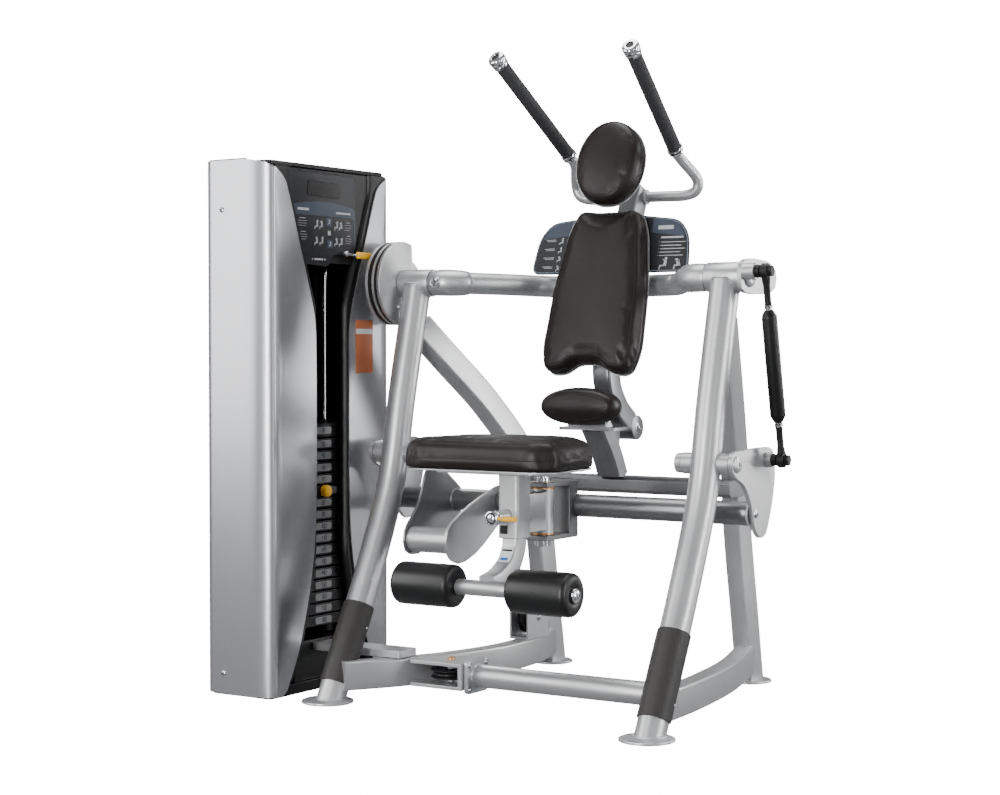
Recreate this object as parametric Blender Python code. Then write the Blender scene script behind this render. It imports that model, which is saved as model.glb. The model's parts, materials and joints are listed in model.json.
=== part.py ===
"""Ab crunch machine: a weight-stack tower beside a swinging seat and torso arm.

Metres, +Z up, +X to the machine's right as seen from the front, the user faces -Y.
Everything is laid out round the machine's centre line (x = 0) and the line of its
front feet (y = 0), and shifted at the end so that the origin is the middle of the
bounding box on the floor.
"""
import math

import bmesh
import bpy
from mathutils import Matrix, Vector

# ---- driving dimensions -------------------------------------------------------
BOX_CENTRE = (-0.1090, 0.4575)     # centre of the whole machine on the floor
GAP = 0.0004                       # clearance between touching pieces
LEG_X = 0.470                      # centre plane of each front leg
LEG_R = 0.038
FOOT_R = 0.068
FOOT_T = 0.008
UPPER = (0.440, 1.100)             # y, z of the torso arm's axis
LOWER = (0.338, 0.636)             # y, z of the seat carriage's axis
HUB_IN, HUB_OUT = 0.420, 0.520
UPPER_HUB_R = 0.038
UPPER_BORE_R, UPPER_SHAFT_R = 0.0205, 0.0195
LOWER_HUB_R = 0.027
LOWER_BORE_R, LOWER_SHAFT_R = 0.0130, 0.0122
CRANK_IN, CRANK_T = 0.5370, 0.012
ROD_X = 0.590                      # plane of the connecting rod
UPPER_STUD = (0.410, 1.112)        # y, z of the rod's two ends
LOWER_STUD = (0.512, 0.640)
STUD_R = 0.008
EYE_SLACK = 0.0032                # opened pivot: the eye clears its stud by this much all round
CARRIAGE_TUBE = (0.446, 0.507, 0.030)   # y, z, radius
SWIVEL_Y = 0.325
SWIVEL_R = 0.014
SEAT_TOP = 0.698
SEAT_T = 0.080
ROLLER = (0.050, 0.325, 0.0545)    # y, z, radius of the foot rollers
ROLLER_SPAN = (0.083, 0.257)
AXLE_R = 0.0125
LEAN = math.radians(16.3)          # backrest lean
PAD_BASE = (0.520, 0.862)          # foot of the backrest face: y, z
PAD_T = 0.060
HEAD_BACK = 0.022                 # depth of the head pad's back
RAIL_W, RAIL_H, RAIL_Z = 0.050, 0.075, 0.068
TOWER_Y = 0.220                    # the tower's middle plane
TOWER_FACE, TOWER_BACK = -0.600, -0.828
TOWER_HALF = 0.270
TOWER_H = 1.415
STACK_X = -0.705
ROD_OFFSET = 0.100
GUIDE_R = 0.010
PLATE_PITCH = 0.032
STACK_Z = 0.166
FIXED_PLATES, LIFTED_PLATES = 11, 5
PLATE_X = (-0.775, -0.635)
PLATE_HALF = 0.160
CABLE_R = 0.003

COLOURS = {
    "silver": ((0.46, 0.47, 0.49), 0.32, 0.75), "grey": ((0.30, 0.31, 0.32), 0.35, 0.7),
    "black": ((0.02, 0.02, 0.022), 0.45, 0.0), "vinyl": ((0.035, 0.030, 0.028), 0.42, 0.0),
    "chrome": ((0.75, 0.76, 0.78), 0.12, 1.0), "guard": ((0.07, 0.065, 0.065), 0.5, 0.0),
    "rubber": ((0.02, 0.02, 0.02), 0.7, 0.0), "yellow": ((0.90, 0.62, 0.02), 0.35, 0.0),
    "iron": ((0.03, 0.03, 0.032), 0.55, 0.3), "label": ((0.09, 0.10, 0.12), 0.5, 0.0),
}

for old in list(bpy.data.objects):
    bpy.data.objects.remove(old, do_unlink=True)


# ---- helpers ------------------------------------------------------------------
def material(name):
    """The named Principled material, made once."""
    found = bpy.data.materials.get(name)
    if found:
        return found
    colour, roughness, metallic = COLOURS[name]
    made = bpy.data.materials.new(name)
    made.use_nodes = True
    shader = made.node_tree.nodes["Principled BSDF"]
    shader.inputs["Base Color"].default_value = (*colour, 1.0)
    shader.inputs["Roughness"].default_value = roughness
    shader.inputs["Metallic"].default_value = metallic
    return made


def finish(name, mesh, slot, origin):
    """Put a bmesh drawn in machine coordinates into a named object at its origin."""
    bmesh.ops.recalc_face_normals(mesh, faces=mesh.faces)
    data = bpy.data.meshes.new(name)
    mesh.transform(Matrix.Translation(-Vector(origin)))
    mesh.to_mesh(data)
    mesh.free()
    data.shade_smooth()
    data.set_sharp_from_angle(angle=math.radians(35))
    made = bpy.data.objects.new(name, data)
    made.location = origin
    bpy.context.scene.collection.objects.link(made)
    data.materials.append(material(slot))
    return made


def guide(made):
    """Mark an object as a tool for Booleans, so that it isn't a piece."""
    made.hide_render = True
    made.display_type = "WIRE"
    return made


def apply_boolean(piece, tool, operation):
    step = piece.modifiers.new(tool.name, "BOOLEAN")
    step.object = guide(tool)
    step.operation = operation
    step.solver = "EXACT"


def cut(piece, *tools):
    for tool in tools:
        apply_boolean(piece, tool, "DIFFERENCE")
    return piece


def join(piece, *tools):
    for tool in tools:
        apply_boolean(piece, tool, "UNION")
    return piece


def loft(name, rings, slot, origin=(0, 0, 0), closed=False):
    """Skin a row of equal rings of points; the ends are capped unless closed."""
    mesh = bmesh.new()
    rows = [[mesh.verts.new(p) for p in ring] for ring in rings]
    count = len(rows[0])
    pairs = list(zip(rows, rows[1:]))
    if closed:
        pairs.append((rows[-1], rows[0]))
    for low, high in pairs:
        for i in range(count):
            j = (i + 1) % count
            mesh.faces.new((low[i], low[j], high[j], high[i]))
    if not closed:
        mesh.faces.new(rows[0][::-1])
        mesh.faces.new(rows[-1])
    return finish(name, mesh, slot, origin)


def smooth_path(points, steps):
    """Catmull-Rom curve through the points."""
    pts = [Vector(p) for p in points]
    pts = [2 * pts[0] - pts[1]] + pts + [2 * pts[-1] - pts[-2]]
    out = []
    for a, b, c, d in zip(pts, pts[1:], pts[2:], pts[3:]):
        for k in range(steps):
            t = k / steps
            out.append(0.5 * (2 * b + (c - a) * t + (2 * a - 5 * b + 4 * c - d) * t * t
                              + (3 * b - a - 3 * c + d) * t ** 3))
    out.append(pts[-2])
    return out


def sweep(name, path, section, slot, side=(1, 0, 0), origin=(0, 0, 0)):
    """Carry a 2D section along a path; side fixes the section's first axis."""
    path = [Vector(p) for p in path]
    rings = []
    for i, here in enumerate(path):
        ahead = path[min(i + 1, len(path) - 1)] - path[max(i - 1, 0)]
        ahead.normalize()
        first = Vector(side) - ahead * Vector(side).dot(ahead)
        first.normalize()
        second = ahead.cross(first)
        rings.append([here + first * a + second * b for a, b in section])
    return loft(name, rings, slot, origin)


def circle(radius, count=16):
    return [(radius * math.cos(math.tau * i / count), radius * math.sin(math.tau * i / count))
            for i in range(count)]


def rounded(points, radius, steps=2):
    """Round each corner of a 2D outline with an arc-like quadratic curve."""
    out = []
    count = len(points)
    for i in range(count):
        here = Vector(points[i])
        before = (Vector(points[i - 1]) - here)
        after = (Vector(points[(i + 1) % count]) - here)
        reach = min(radius, 0.45 * before.length, 0.45 * after.length)
        start = here + before.normalized() * reach
        end = here + after.normalized() * reach
        for k in range(steps + 1):
            t = k / steps
            out.append(tuple((1 - t) ** 2 * start + 2 * t * (1 - t) * here + t * t * end))
    return out


def rectangle(width, height, radius=0.008, steps=1):
    a, b = width / 2, height / 2
    return rounded([(-a, -b), (a, -b), (a, b), (-a, b)], radius, steps)


def tube(name, points, radius, slot, steps=3, side=(1, 0, 0), origin=(0, 0, 0), count=16):
    return sweep(name, smooth_path(points, steps), circle(radius, count), slot, side, origin)


def cylinder(name, axis, centre, radius, low, high, slot="silver", origin=(0, 0, 0), count=18):
    """A cylinder along X, Y or Z; centre gives its other two coordinates."""
    rings = []
    for end in (low, high):
        ring = []
        for a, b in circle(radius, count):
            place = [centre[0] + a, centre[1] + b]
            place.insert("xyz".index(axis), end)
            ring.append(place)
        rings.append(ring)
    return loft(name, rings, slot, origin)


def turned(name, axis, centre, profile, slot, origin=(0, 0, 0), count=20):
    """A ring turned about an axis: profile is a closed list of (along, radius)."""
    rings = []
    for i in range(count):
        angle = math.tau * i / count
        ring = []
        for along, radius in profile:
            place = [centre[0] + radius * math.cos(angle), centre[1] + radius * math.sin(angle)]
            place.insert("xyz".index(axis), along)
            ring.append(place)
        rings.append(ring)
    return loft(name, rings, slot, origin, closed=True)


def plate(name, axis, outline, low, high, slot="silver", origin=(0, 0, 0)):
    """A flat piece: the outline holds the other two coordinates, in X, Y, Z order."""
    rings = []
    for end in (low, high):
        ring = []
        for a, b in outline:
            place = [a, b]
            place.insert("xyz".index(axis), end)
            ring.append(place)
        rings.append(ring)
    return loft(name, rings, slot, origin)


def box(name, x, y, z, slot="silver", origin=(0, 0, 0), radius=0.0):
    outline = [(x[0], y[0]), (x[1], y[0]), (x[1], y[1]), (x[0], y[1])]
    if radius:
        outline = rounded(outline, radius, 3)
    return plate(name, "z", outline, z[0], z[1], slot, origin)


def signed(side, low, high):
    """A span along X on the given side, smallest first."""
    return tuple(sorted((side * low, side * high)))


SIDES = (("left", -1), ("right", 1))


# ---- fixed frame --------------------------------------------------------------
def leg_path(side):
    profile = [(0.035, 0.004), (0.118, 0.160), (0.205, 0.325), (0.306, 0.555), (0.359, 0.793),
               (0.433, 1.090)]
    return [(side * LEG_X, y, z) for y, z in profile]


def rear_path(side):
    profile = [(0.318, 0.905, 0.004), (0.318, 0.868, 0.200), (0.318, 0.825, 0.420),
               (0.335, 0.770, 0.600), (0.380, 0.650, 0.760), (0.430, 0.520, 0.890),
               (0.466, 0.425, 0.985)]
    return [(side * x, y, z) for x, y, z in profile]


def rail_path(side):
    if side < 0:
        return [(-0.445, 0.050, RAIL_Z), (-0.375, 0.160, RAIL_Z), (-0.300, 0.310, RAIL_Z),
                (-0.255, 0.500, RAIL_Z), (-0.262, 0.700, RAIL_Z), (-0.312, 0.880, RAIL_Z)]
    return [(0.462, 0.080, RAIL_Z), (0.448, 0.300, RAIL_Z), (0.405, 0.580, RAIL_Z),
            (0.322, 0.880, RAIL_Z)]


def leg_cutter(name, side):
    """The leg with its clearance, for coping the tubes that meet it."""
    return tube(name, leg_path(side), LEG_R + GAP, "silver")


def rear_cutter(name, side):
    section = rectangle(0.050 + 2 * GAP, 0.080 + 2 * GAP)
    return sweep(name, smooth_path(rear_path(side), 3), section, "silver")


def rail_cutter(name, side):
    section = rectangle(RAIL_H + 2 * GAP, RAIL_W + 2 * GAP)
    return sweep(name, smooth_path(rail_path(side), 3), section, "silver", side=(0, 0, 1))


def build_side(label, side):
    leg = tube(f"{label}_leg", leg_path(side), LEG_R, "silver")
    hub = cylinder(f"{label}_upper_hub_blank", "x", UPPER, UPPER_HUB_R, *signed(side, HUB_IN, HUB_OUT))
    low_hub = cylinder(f"{label}_lower_hub_blank", "x", LOWER, LOWER_HUB_R,
                       *signed(side, 0.405, 0.5362))
    foot = cylinder(f"{label}_foot_blank", "z", (side * LEG_X, 0.022), FOOT_R, 0.0, FOOT_T, count=24)
    join(leg, hub, low_hub, foot)
    cut(leg, cylinder(f"{label}_upper_bore", "x", UPPER, UPPER_BORE_R, *signed(side, 0.38, 0.56)),
        cylinder(f"{label}_lower_bore", "x", LOWER, LOWER_BORE_R, *signed(side, 0.38, 0.56)),
        box(f"{label}_floor", (-1, 1), (-1, 1), (-0.2, 0.0)))

    rear = sweep(f"{label}_rear_leg", smooth_path(rear_path(side), 3), rectangle(0.050, 0.080), "silver")
    join(rear, cylinder(f"{label}_rear_foot_blank", "z", (side * 0.318, 0.905), 0.060, 0.0, FOOT_T,
                        count=24))
    cut(rear, leg_cutter(f"{label}_brace_cope", side),
        box(f"{label}_rear_floor", (-1, 1), (-1, 2), (-0.2, 0.0)))

    rail = sweep(f"{label}_rail", smooth_path(rail_path(side), 3), rectangle(RAIL_H, RAIL_W),
                 "silver", side=(0, 0, 1))
    cut(rail, leg_cutter(f"{label}_rail_cope", side), rear_cutter(f"{label}_rail_rear_cope", side))

    path = smooth_path(leg_path(side), 3)[1:6]
    guard = sweep(f"{label}_shin_guard", path, circle(LEG_R + 0.0035), "guard")
    cut(guard, tube(f"{label}_guard_bore", leg_path(side), LEG_R + GAP, "guard"),
        rail_cutter(f"{label}_guard_rail", side))
    return leg


def build_frame():
    for label, side in SIDES:
        build_side(label, side)
    beam = sweep("rear_cross_beam", [(-0.36, 0.735, 0.545), (0.36, 0.735, 0.545)],
                 rectangle(0.090, 0.045), "silver", side=(0, 1, 0))
    cut(beam, *[rear_cutter(f"{label}_beam_cope", side) for label, side in SIDES])

    cross = cylinder("front_cross_tube", "x", (0.240, RAIL_Z), 0.030, -0.150, 0.440)
    join(cross, plate("cross_flange", "x", rounded([(0.190, 0.024), (0.290, 0.024), (0.290, 0.112),
                                                    (0.190, 0.112)], 0.010), -0.157, -0.145))
    cut(cross, rail_cutter("cross_cope", 1), leg_cutter("cross_leg_cope", 1))

    post = sweep("lumbar_post", smooth_path([(0, 0.700, 0.569), (0, 0.660, 0.640), (0, 0.600, 0.715)], 3),
                 rectangle(0.070, 0.060), "silver")
    join(post, box("lumbar_shelf", (-0.085, 0.085), (0.545, 0.640), (0.700, 0.708), radius=0.01),
         plate("lumbar_back", "y", rounded([(-0.06, 0.700), (0.06, 0.700), (0.05, 0.800),
                                            (-0.05, 0.800)], 0.015), 0.551, 0.559),
         box("stop_ear", (-0.020, 0.020), (0.640, 0.704), (0.655, 0.704), radius=0.004))
    cut(post, box("lumbar_floor", (-1, 1), (0, 2), (0.3, 0.568)))
    plate("lumbar_pad", "y", [(0.118 * math.cos(math.tau * i / 28), 0.765 + 0.052
                               * math.sin(math.tau * i / 28)) for i in range(28)],
          0.481, 0.5505, "vinyl")


def build_base_pulleys():
    bracket = box("base_pulley_bracket", (-0.320, -0.1575), (0.180, 0.300), (0.034, 0.104))
    cut(bracket, box("base_pulley_room", (-0.40, -0.170), (0.1, 0.4), (0.044, 0.094)),
        rail_cutter("bracket_cope", -1))
    pin = cylinder("base_pulley_pin", "z", (-0.228, 0.240), 0.006, 0.040, 0.098)
    join(bracket, pin)
    groove_pulley("base_pulley", "z", (-0.228, 0.240), 0.054, 0.057, 0.081,
                  (-0.228, 0.240, 0.069))
    guard = box("rear_pulley_guard", (-0.290, -0.228), (0.625, 0.735), (0.1060, 0.215))
    cut(guard, box("rear_pulley_room", (-0.284, -0.234), (0.5, 0.8), (0.112, 0.3)))
    join(guard, cylinder("rear_pulley_pin", "x", (0.680, 0.165), 0.006, -0.286, -0.232))
    groove_pulley("rear_pulley", "x", (0.680, 0.165), 0.047, -0.271, -0.247,
                  (-0.259, 0.680, 0.165))


def groove_pulley(name, axis, centre, radius, low, high, origin):
    mid = (low + high) / 2
    profile = [(low, 0.0065), (high, 0.0065), (high, radius), (mid + 0.007, radius),
               (mid + 0.003, radius - 0.008), (mid - 0.003, radius - 0.008), (mid - 0.007, radius),
               (low, radius)]
    return turned(name, axis, centre, profile, "rubber", origin)


# ---- tower ----------------------------------------------------------------------
def shroud_edge(z):
    """How far the front shroud reaches in from its corner at a given height."""
    table = [(0.006, 0.000), (0.020, 0.019), (0.145, 0.079), (0.354, 0.132), (0.540, 0.146),
             (0.900, 0.146), (0.985, 0.143), (1.036, 0.132), (1.220, 0.069), (1.375, 0.014),
             (TOWER_H, -0.030)]
    for (z0, e0), (z1, e1) in zip(table, table[1:]):
        if z <= z1:
            return e0 + (e1 - e0) * (z - z0) / (z1 - z0)
    return table[-1][1]


def shroud_section(reach, inset):
    """Plan outline of the front shroud's sheet at one height, offset inward by inset."""
    back, face = TOWER_BACK + inset, TOWER_FACE - inset
    front = TOWER_Y - TOWER_HALF + inset
    points = [(back, 0.0), (back, front + 0.030)]
    for k in range(1, 5):
        turn = math.pi / 2 * k / 5
        points.append((back + 0.030 * (1 - math.cos(turn)), front + 0.030 * (1 - math.sin(turn))))
    corner = 0.052
    for k in range(0, 9):
        turn = math.pi / 2 * k / 8
        points.append((face - corner * 1.5 * (1 - math.sin(turn)),
                       front + 0.50 * corner * (1 - math.cos(turn))))
    tip = max(reach, front + 0.50 * corner + 0.004)
    start = points[-1][1]
    for k in range(1, 4):
        points.append((face, start + (tip - start) * k / 3))
    return points


def build_shroud(name, mirror):
    heights = [0.006, 0.020, 0.060, 0.145, 0.250, 0.354, 0.540, 0.900, 0.985, 1.036, 1.128, 1.220,
               1.300, 1.375, 1.385, 1.402, TOWER_H]
    rings = []
    for z in heights:
        outer = shroud_section(shroud_edge(z), 0.0)
        inner = shroud_section(shroud_edge(z), 0.004)
        ring = [(x, y, z) for x, y in outer] + [(x, y, z) for x, y in reversed(inner)]
        if mirror:
            ring = [(x, 2 * TOWER_Y - y, z) for x, y, z in ring]
        rings.append(ring)
    return loft(name, rings, "silver")


def plate_block(name, count, low, slot="iron"):
    """A stack of weight plates joined at their core, with bores for the rods and stem."""
    outline = []
    for i in range(count):
        z0 = low + i * PLATE_PITCH
        outline += [(PLATE_X[1], z0), (PLATE_X[1], z0 + PLATE_PITCH - 0.003)]
        if i < count - 1:
            outline += [(PLATE_X[1] - 0.006, z0 + PLATE_PITCH - 0.003),
                        (PLATE_X[1] - 0.006, z0 + PLATE_PITCH)]
    for i in reversed(range(count)):
        z0 = low + i * PLATE_PITCH
        outline += [(PLATE_X[0], z0 + PLATE_PITCH - 0.003), (PLATE_X[0], z0)]
        if i:
            outline += [(PLATE_X[0] + 0.006, z0), (PLATE_X[0] + 0.006, z0 - 0.003)]
    block = plate(name, "y", outline, TOWER_Y - PLATE_HALF, TOWER_Y + PLATE_HALF, slot)
    bore_stack(block, name, low - 0.01, low + count * PLATE_PITCH + 0.01)
    return block


def bore_stack(block, name, low, high):
    for tag, offset, radius in (("a", -ROD_OFFSET, 0.0125), ("b", ROD_OFFSET, 0.0125),
                                ("c", 0.0, 0.0140)):
        cut(block, cylinder(f"{name}_bore_{tag}", "z", (STACK_X, TOWER_Y + offset), radius, low, high,
                            count=16))


def build_tower():
    base = box("tower_base", (-0.8195, -0.612), (-0.035, 0.475), (0.0, 0.030), "black", radius=0.02)
    join(base, box("stack_riser", (-0.800, -0.625), (0.080, 0.360), (0.020, 0.135), "black"))
    for tag, offset in (("a", -ROD_OFFSET), ("b", ROD_OFFSET)):
        join(base, cylinder(f"stack_bumper_{tag}", "z", (STACK_X, TOWER_Y + offset), 0.024, 0.130,
                            STACK_Z - GAP, "rubber"))
    box("tower_back_cover", (-0.827, -0.823), (0.0008, 0.4392), (0.032, 1.400), "black")
    build_shroud("front_shroud", False)
    build_shroud("rear_shroud", True)

    head = box("tower_head", (-0.8195, -0.612), (-0.035, 0.475), (1.402, 1.412), "black", radius=0.02)
    join(head, box("head_wall_a", (-0.800, -0.660), (0.186, 0.196), (1.300, 1.405), "black"),
         box("head_wall_b", (-0.800, -0.660), (0.244, 0.254), (1.300, 1.405), "black"),
         cylinder("head_axle", "y", (-0.7555, 1.345), 0.006, 0.190, 0.250, "chrome"))
    groove_pulley("top_pulley", "y", (-0.7555, 1.345), 0.051, 0.208, 0.232, (-0.7555, TOWER_Y, 1.345))

    outline = rounded([(0.004, 1.392), (0.318, 1.392), (0.341, 1.374), (0.336, 1.290), (0.329, 1.182),
                       (0.231, 1.171), (0.213, 1.140), (0.096, 1.146), (0.040, 1.225)], 0.012)
    plate("tower_placard", "x", outline, -0.614, -0.609, "label")

    for tag, offset in (("front", -ROD_OFFSET), ("rear", ROD_OFFSET)):
        cylinder(f"{tag}_guide_rod", "z", (STACK_X, TOWER_Y + offset), GUIDE_R, STACK_Z, 1.400,
                 "chrome", count=16)
    cylinder("lift_cable", "z", (STACK_X, TOWER_Y), CABLE_R, 0.7655, 1.342, "rubber", count=8)
    box("tower_link", (-0.6245, -0.335), (0.155, 0.235), (0.107, 0.127), "silver", radius=0.006)

    plate_block("fixed_plates", FIXED_PLATES, STACK_Z)
    lifted_z = STACK_Z + FIXED_PLATES * PLATE_PITCH
    lifted = plate_block("lifted_plates", LIFTED_PLATES, lifted_z)
    pin_z = lifted_z + PLATE_PITCH / 2 - 0.0015
    cut(lifted, cylinder("pin_hole", "x", (TOWER_Y, pin_z), 0.0056, -0.690, -0.60, count=12))
    top_z = lifted_z + LIFTED_PLATES * PLATE_PITCH
    top = box("top_plate", PLATE_X, (TOWER_Y - PLATE_HALF, TOWER_Y + PLATE_HALF),
              (top_z, top_z + 0.038), "iron", radius=0.006)
    bore_stack(top, "top_plate", top_z - 0.01, top_z + 0.05)
    stem = cylinder("selector_stem", "z", (STACK_X, TOWER_Y), 0.0130, 0.190, 0.7650, "chrome", count=16)
    join(stem, cylinder("stem_collar", "z", (STACK_X, TOWER_Y), 0.022, top_z + 0.0385, 0.745, "chrome"))
    pin = cylinder("selector_pin", "x", (TOWER_Y, pin_z), 0.0050, -0.6885, -0.628, "yellow",
                   origin=(-0.630, TOWER_Y, pin_z), count=12)
    join(pin, cylinder("pin_head", "x", (TOWER_Y, pin_z), 0.016, -0.6340, -0.614, "yellow"))

    hinge = (-0.598, 0.275, 1.178)
    lever = sweep("add_on_lever", [(-0.596, 0.275, 1.178), (-0.587, 0.335, 1.175)], circle(0.0035, 10),
                  "yellow", side=(0, 0, 1), origin=hinge)
    join(lever, sweep("lever_grip", [(-0.5865, 0.330, 1.1752), (-0.5865, 0.392, 1.172)],
                      circle(0.0085, 14), "yellow", side=(0, 0, 1)),
         cylinder("lever_boss", "x", (0.275, 1.178), 0.008, -0.6085, -0.594, "yellow", count=14))


# ---- torso arm --------------------------------------------------------------------
def on_back(x, up, depth):
    """A point of the leaning backrest: x across, up its face, depth behind the face."""
    return (x, PAD_BASE[0] + up * math.sin(LEAN) + depth * math.cos(LEAN),
            PAD_BASE[1] + up * math.cos(LEAN) - depth * math.sin(LEAN))


def leaning(name, outline, low, high, slot, origin):
    rings = [[on_back(x, up, depth) for x, up in outline] for depth in (low, high)]
    return loft(name, rings, slot, origin)


def mount(name, half, up, low, high):
    """A block behind the leaning pads, from depth low to depth high."""
    outline = rounded([(-half, up[0]), (half, up[0]), (half, up[1]), (-half, up[1])], 0.006, 2)
    return leaning(name, outline, low, high, "silver", (0.0, *UPPER))


def mast_path():
    return [(0, 0.830, 1.365), (0, 0.760, 1.200), (0, 0.722, 1.080), (0, 0.665, 0.900),
            (0, 0.668, 0.820), (0, 0.710, 0.755), (0, 0.765, 0.715)]


def mast_cutter(name):
    return sweep(name, smooth_path(mast_path(), 3), rectangle(0.056 + 2 * GAP, 0.066 + 2 * GAP), "silver")


def build_arm():
    axis = (0.0, *UPPER)
    for label, side in SIDES:
        yoke = cylinder(f"{label}_swing_arm", "x", UPPER, UPPER_SHAFT_R,
                        *signed(side, 0.370, 0.5195), "silver", origin=axis)
        join(yoke, cylinder(f"{label}_arm_boss", "x", UPPER, 0.036, *signed(side, 0.355, 0.4185)),
             tube(f"{label}_arm_tube", [(side * 0.385, 0.440, 1.100), (side * 0.345, 0.476, 1.099),
                                        (side * 0.262, 0.600, 1.096), (side * 0.185, 0.700, 1.092),
                                        (side * 0.010, 0.730, 1.090)],
                  0.030, "silver", steps=3, side=(0, 0, 1)))
        cut(yoke, mast_cutter(f"{label}_arm_cope"))
    mast = sweep("arm_mast", smooth_path(mast_path(), 3), rectangle(0.056, 0.066), "silver", origin=axis)
    join(mast, cylinder("tail_boss", "x", (0.790, 0.700), 0.034, -0.028, 0.028),
         mount("pad_mount_low", 0.024, (0.045, 0.125), PAD_T + GAP, 0.150),
         mount("pad_mount_high", 0.024, (0.215, 0.275), PAD_T + GAP, 0.160),
         mount("sign_mount", 0.020, (0.350, 0.420), PAD_T + 0.012 + GAP, 0.175),
         mount("head_stalk", 0.014, (0.545, 0.577), HEAD_BACK + 0.004, 0.180),
         mount("head_plate", 0.040, (0.530, 0.650), HEAD_BACK + GAP, HEAD_BACK + 0.008))
    build_handles(axis)
    cut(mast, cylinder("bar_bore", "x", (0.834, 1.342), 0.0154, -0.2, 0.2, count=28))

    pad = rounded([(-0.070, 0.440), (-0.085, 0.464), (0.085, 0.464), (0.118, 0.400), (0.142, 0.240),
                   (0.148, 0.060), (0.130, 0.006), (0.062, -0.002), (0.030, 0.028), (-0.030, 0.028),
                   (-0.062, -0.002), (-0.130, 0.006), (-0.148, 0.060), (-0.142, 0.240),
                   (-0.118, 0.400)][1:], 0.03, 3)
    leaning("back_pad", pad, 0.0, PAD_T, "vinyl", axis)
    head = [(0.098 * math.cos(math.tau * i / 28), 0.586 + 0.120 * math.sin(math.tau * i / 28))
            for i in range(28)]
    leaning("head_pad", head, HEAD_BACK - 0.067, HEAD_BACK, "vinyl", axis)
    sign = rounded([(-0.247, 0.294), (0.247, 0.294), (0.235, 0.400), (0.200, 0.445), (0.060, 0.462),
                    (-0.060, 0.462), (-0.200, 0.445), (-0.235, 0.400)], 0.03, 3)
    leaning("arm_placard", sign, PAD_T + 0.008, PAD_T + 0.012, "label", axis)

    cam = turned("cam_wheel", "x", UPPER, [(-0.521, 0.020), (-0.521, 0.116), (-0.533, 0.116),
                                           (-0.538, 0.106), (-0.543, 0.116), (-0.549, 0.116),
                                           (-0.554, 0.106), (-0.559, 0.116), (-0.571, 0.116),
                                           (-0.571, 0.020)], "silver", axis, 28)
    cut(cam, plate("cam_relief", "x", [(0.478, 1.300), (0.482, 1.174), (0.492, 1.158), (0.512, 1.140),
                                       (0.516, 1.120), (0.508, 1.070), (0.492, 1.045), (0.478, 1.015),
                                       (0.476, 0.900), (0.700, 0.900), (0.700, 1.300)], -0.60, -0.50))
    join(cam, cylinder("cam_hub", "x", UPPER, 0.030, -0.574, -0.5204))

    outline = rounded([(0.392, 1.064), (0.392, 1.138), (0.450, 1.148), (0.560, 1.142), (0.606, 1.122),
                       (0.602, 1.070), (0.540, 1.058), (0.450, 1.056)], 0.025)
    crank = plate("upper_crank", "x", outline, 0.5204, 0.5324, "silver", axis)
    join(crank, cylinder("upper_stud_boss", "x", UPPER_STUD, 0.015, 0.530, 0.570),
         cylinder("upper_stud", "x", UPPER_STUD, STUD_R, 0.560, 0.610, count=16))


def build_handles(axis):
    """The bent bar behind the head and the two padded grips on its forward ends."""
    low, top = Vector((0.165, 0.760, 1.448)), Vector((0.205, 0.415, 1.700))
    along = (top - low).normalized()
    half = [top, top - along * 0.10, top - along * 0.25, low + along * 0.02, low,
            low - along * 0.030 + Vector((0.008, 0, 0)), Vector((0.192, 0.826, 1.385)),
            Vector((0.184, 0.834, 1.354)), Vector((0.150, 0.834, 1.342)), Vector((0.090, 0.834, 1.342))]
    mirrored = [Vector((-p.x, p.y, p.z)) for p in reversed(half)]
    path = smooth_path(half + mirrored, 3)
    rings = []
    first = Vector((0, 0.59, 0.807))
    for i, here in enumerate(path):
        ahead = (path[min(i + 1, len(path) - 1)] - path[max(i - 1, 0)]).normalized()
        first = (first - ahead * first.dot(ahead)).normalized()
        second = ahead.cross(first)
        rings.append([here + first * a + second * b for a, b in circle(0.0150, 12)])
    loft("handle_bar", rings, "silver", axis)
    for label, side in SIDES:
        start = Vector((side * low.x, low.y, low.z))
        ahead = Vector((side * along.x, along.y, along.z))
        grip = sweep(f"{label}_grip", [start + ahead * 0.030, start + ahead * 0.395],
                     circle(0.0195, 20), "rubber", side=(1, 0, 0), origin=axis)
        cut(grip, sweep(f"{label}_grip_bore", [start - ahead * 0.02, start + ahead * 0.46],
                        circle(0.0158, 20), "rubber", side=(1, 0, 0)))


# ---- seat carriage -----------------------------------------------------------------
def tube_cutter(name):
    y, z, radius = CARRIAGE_TUBE
    return cylinder(name, "x", (y, z), radius + GAP, -0.60, 0.60)


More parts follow.
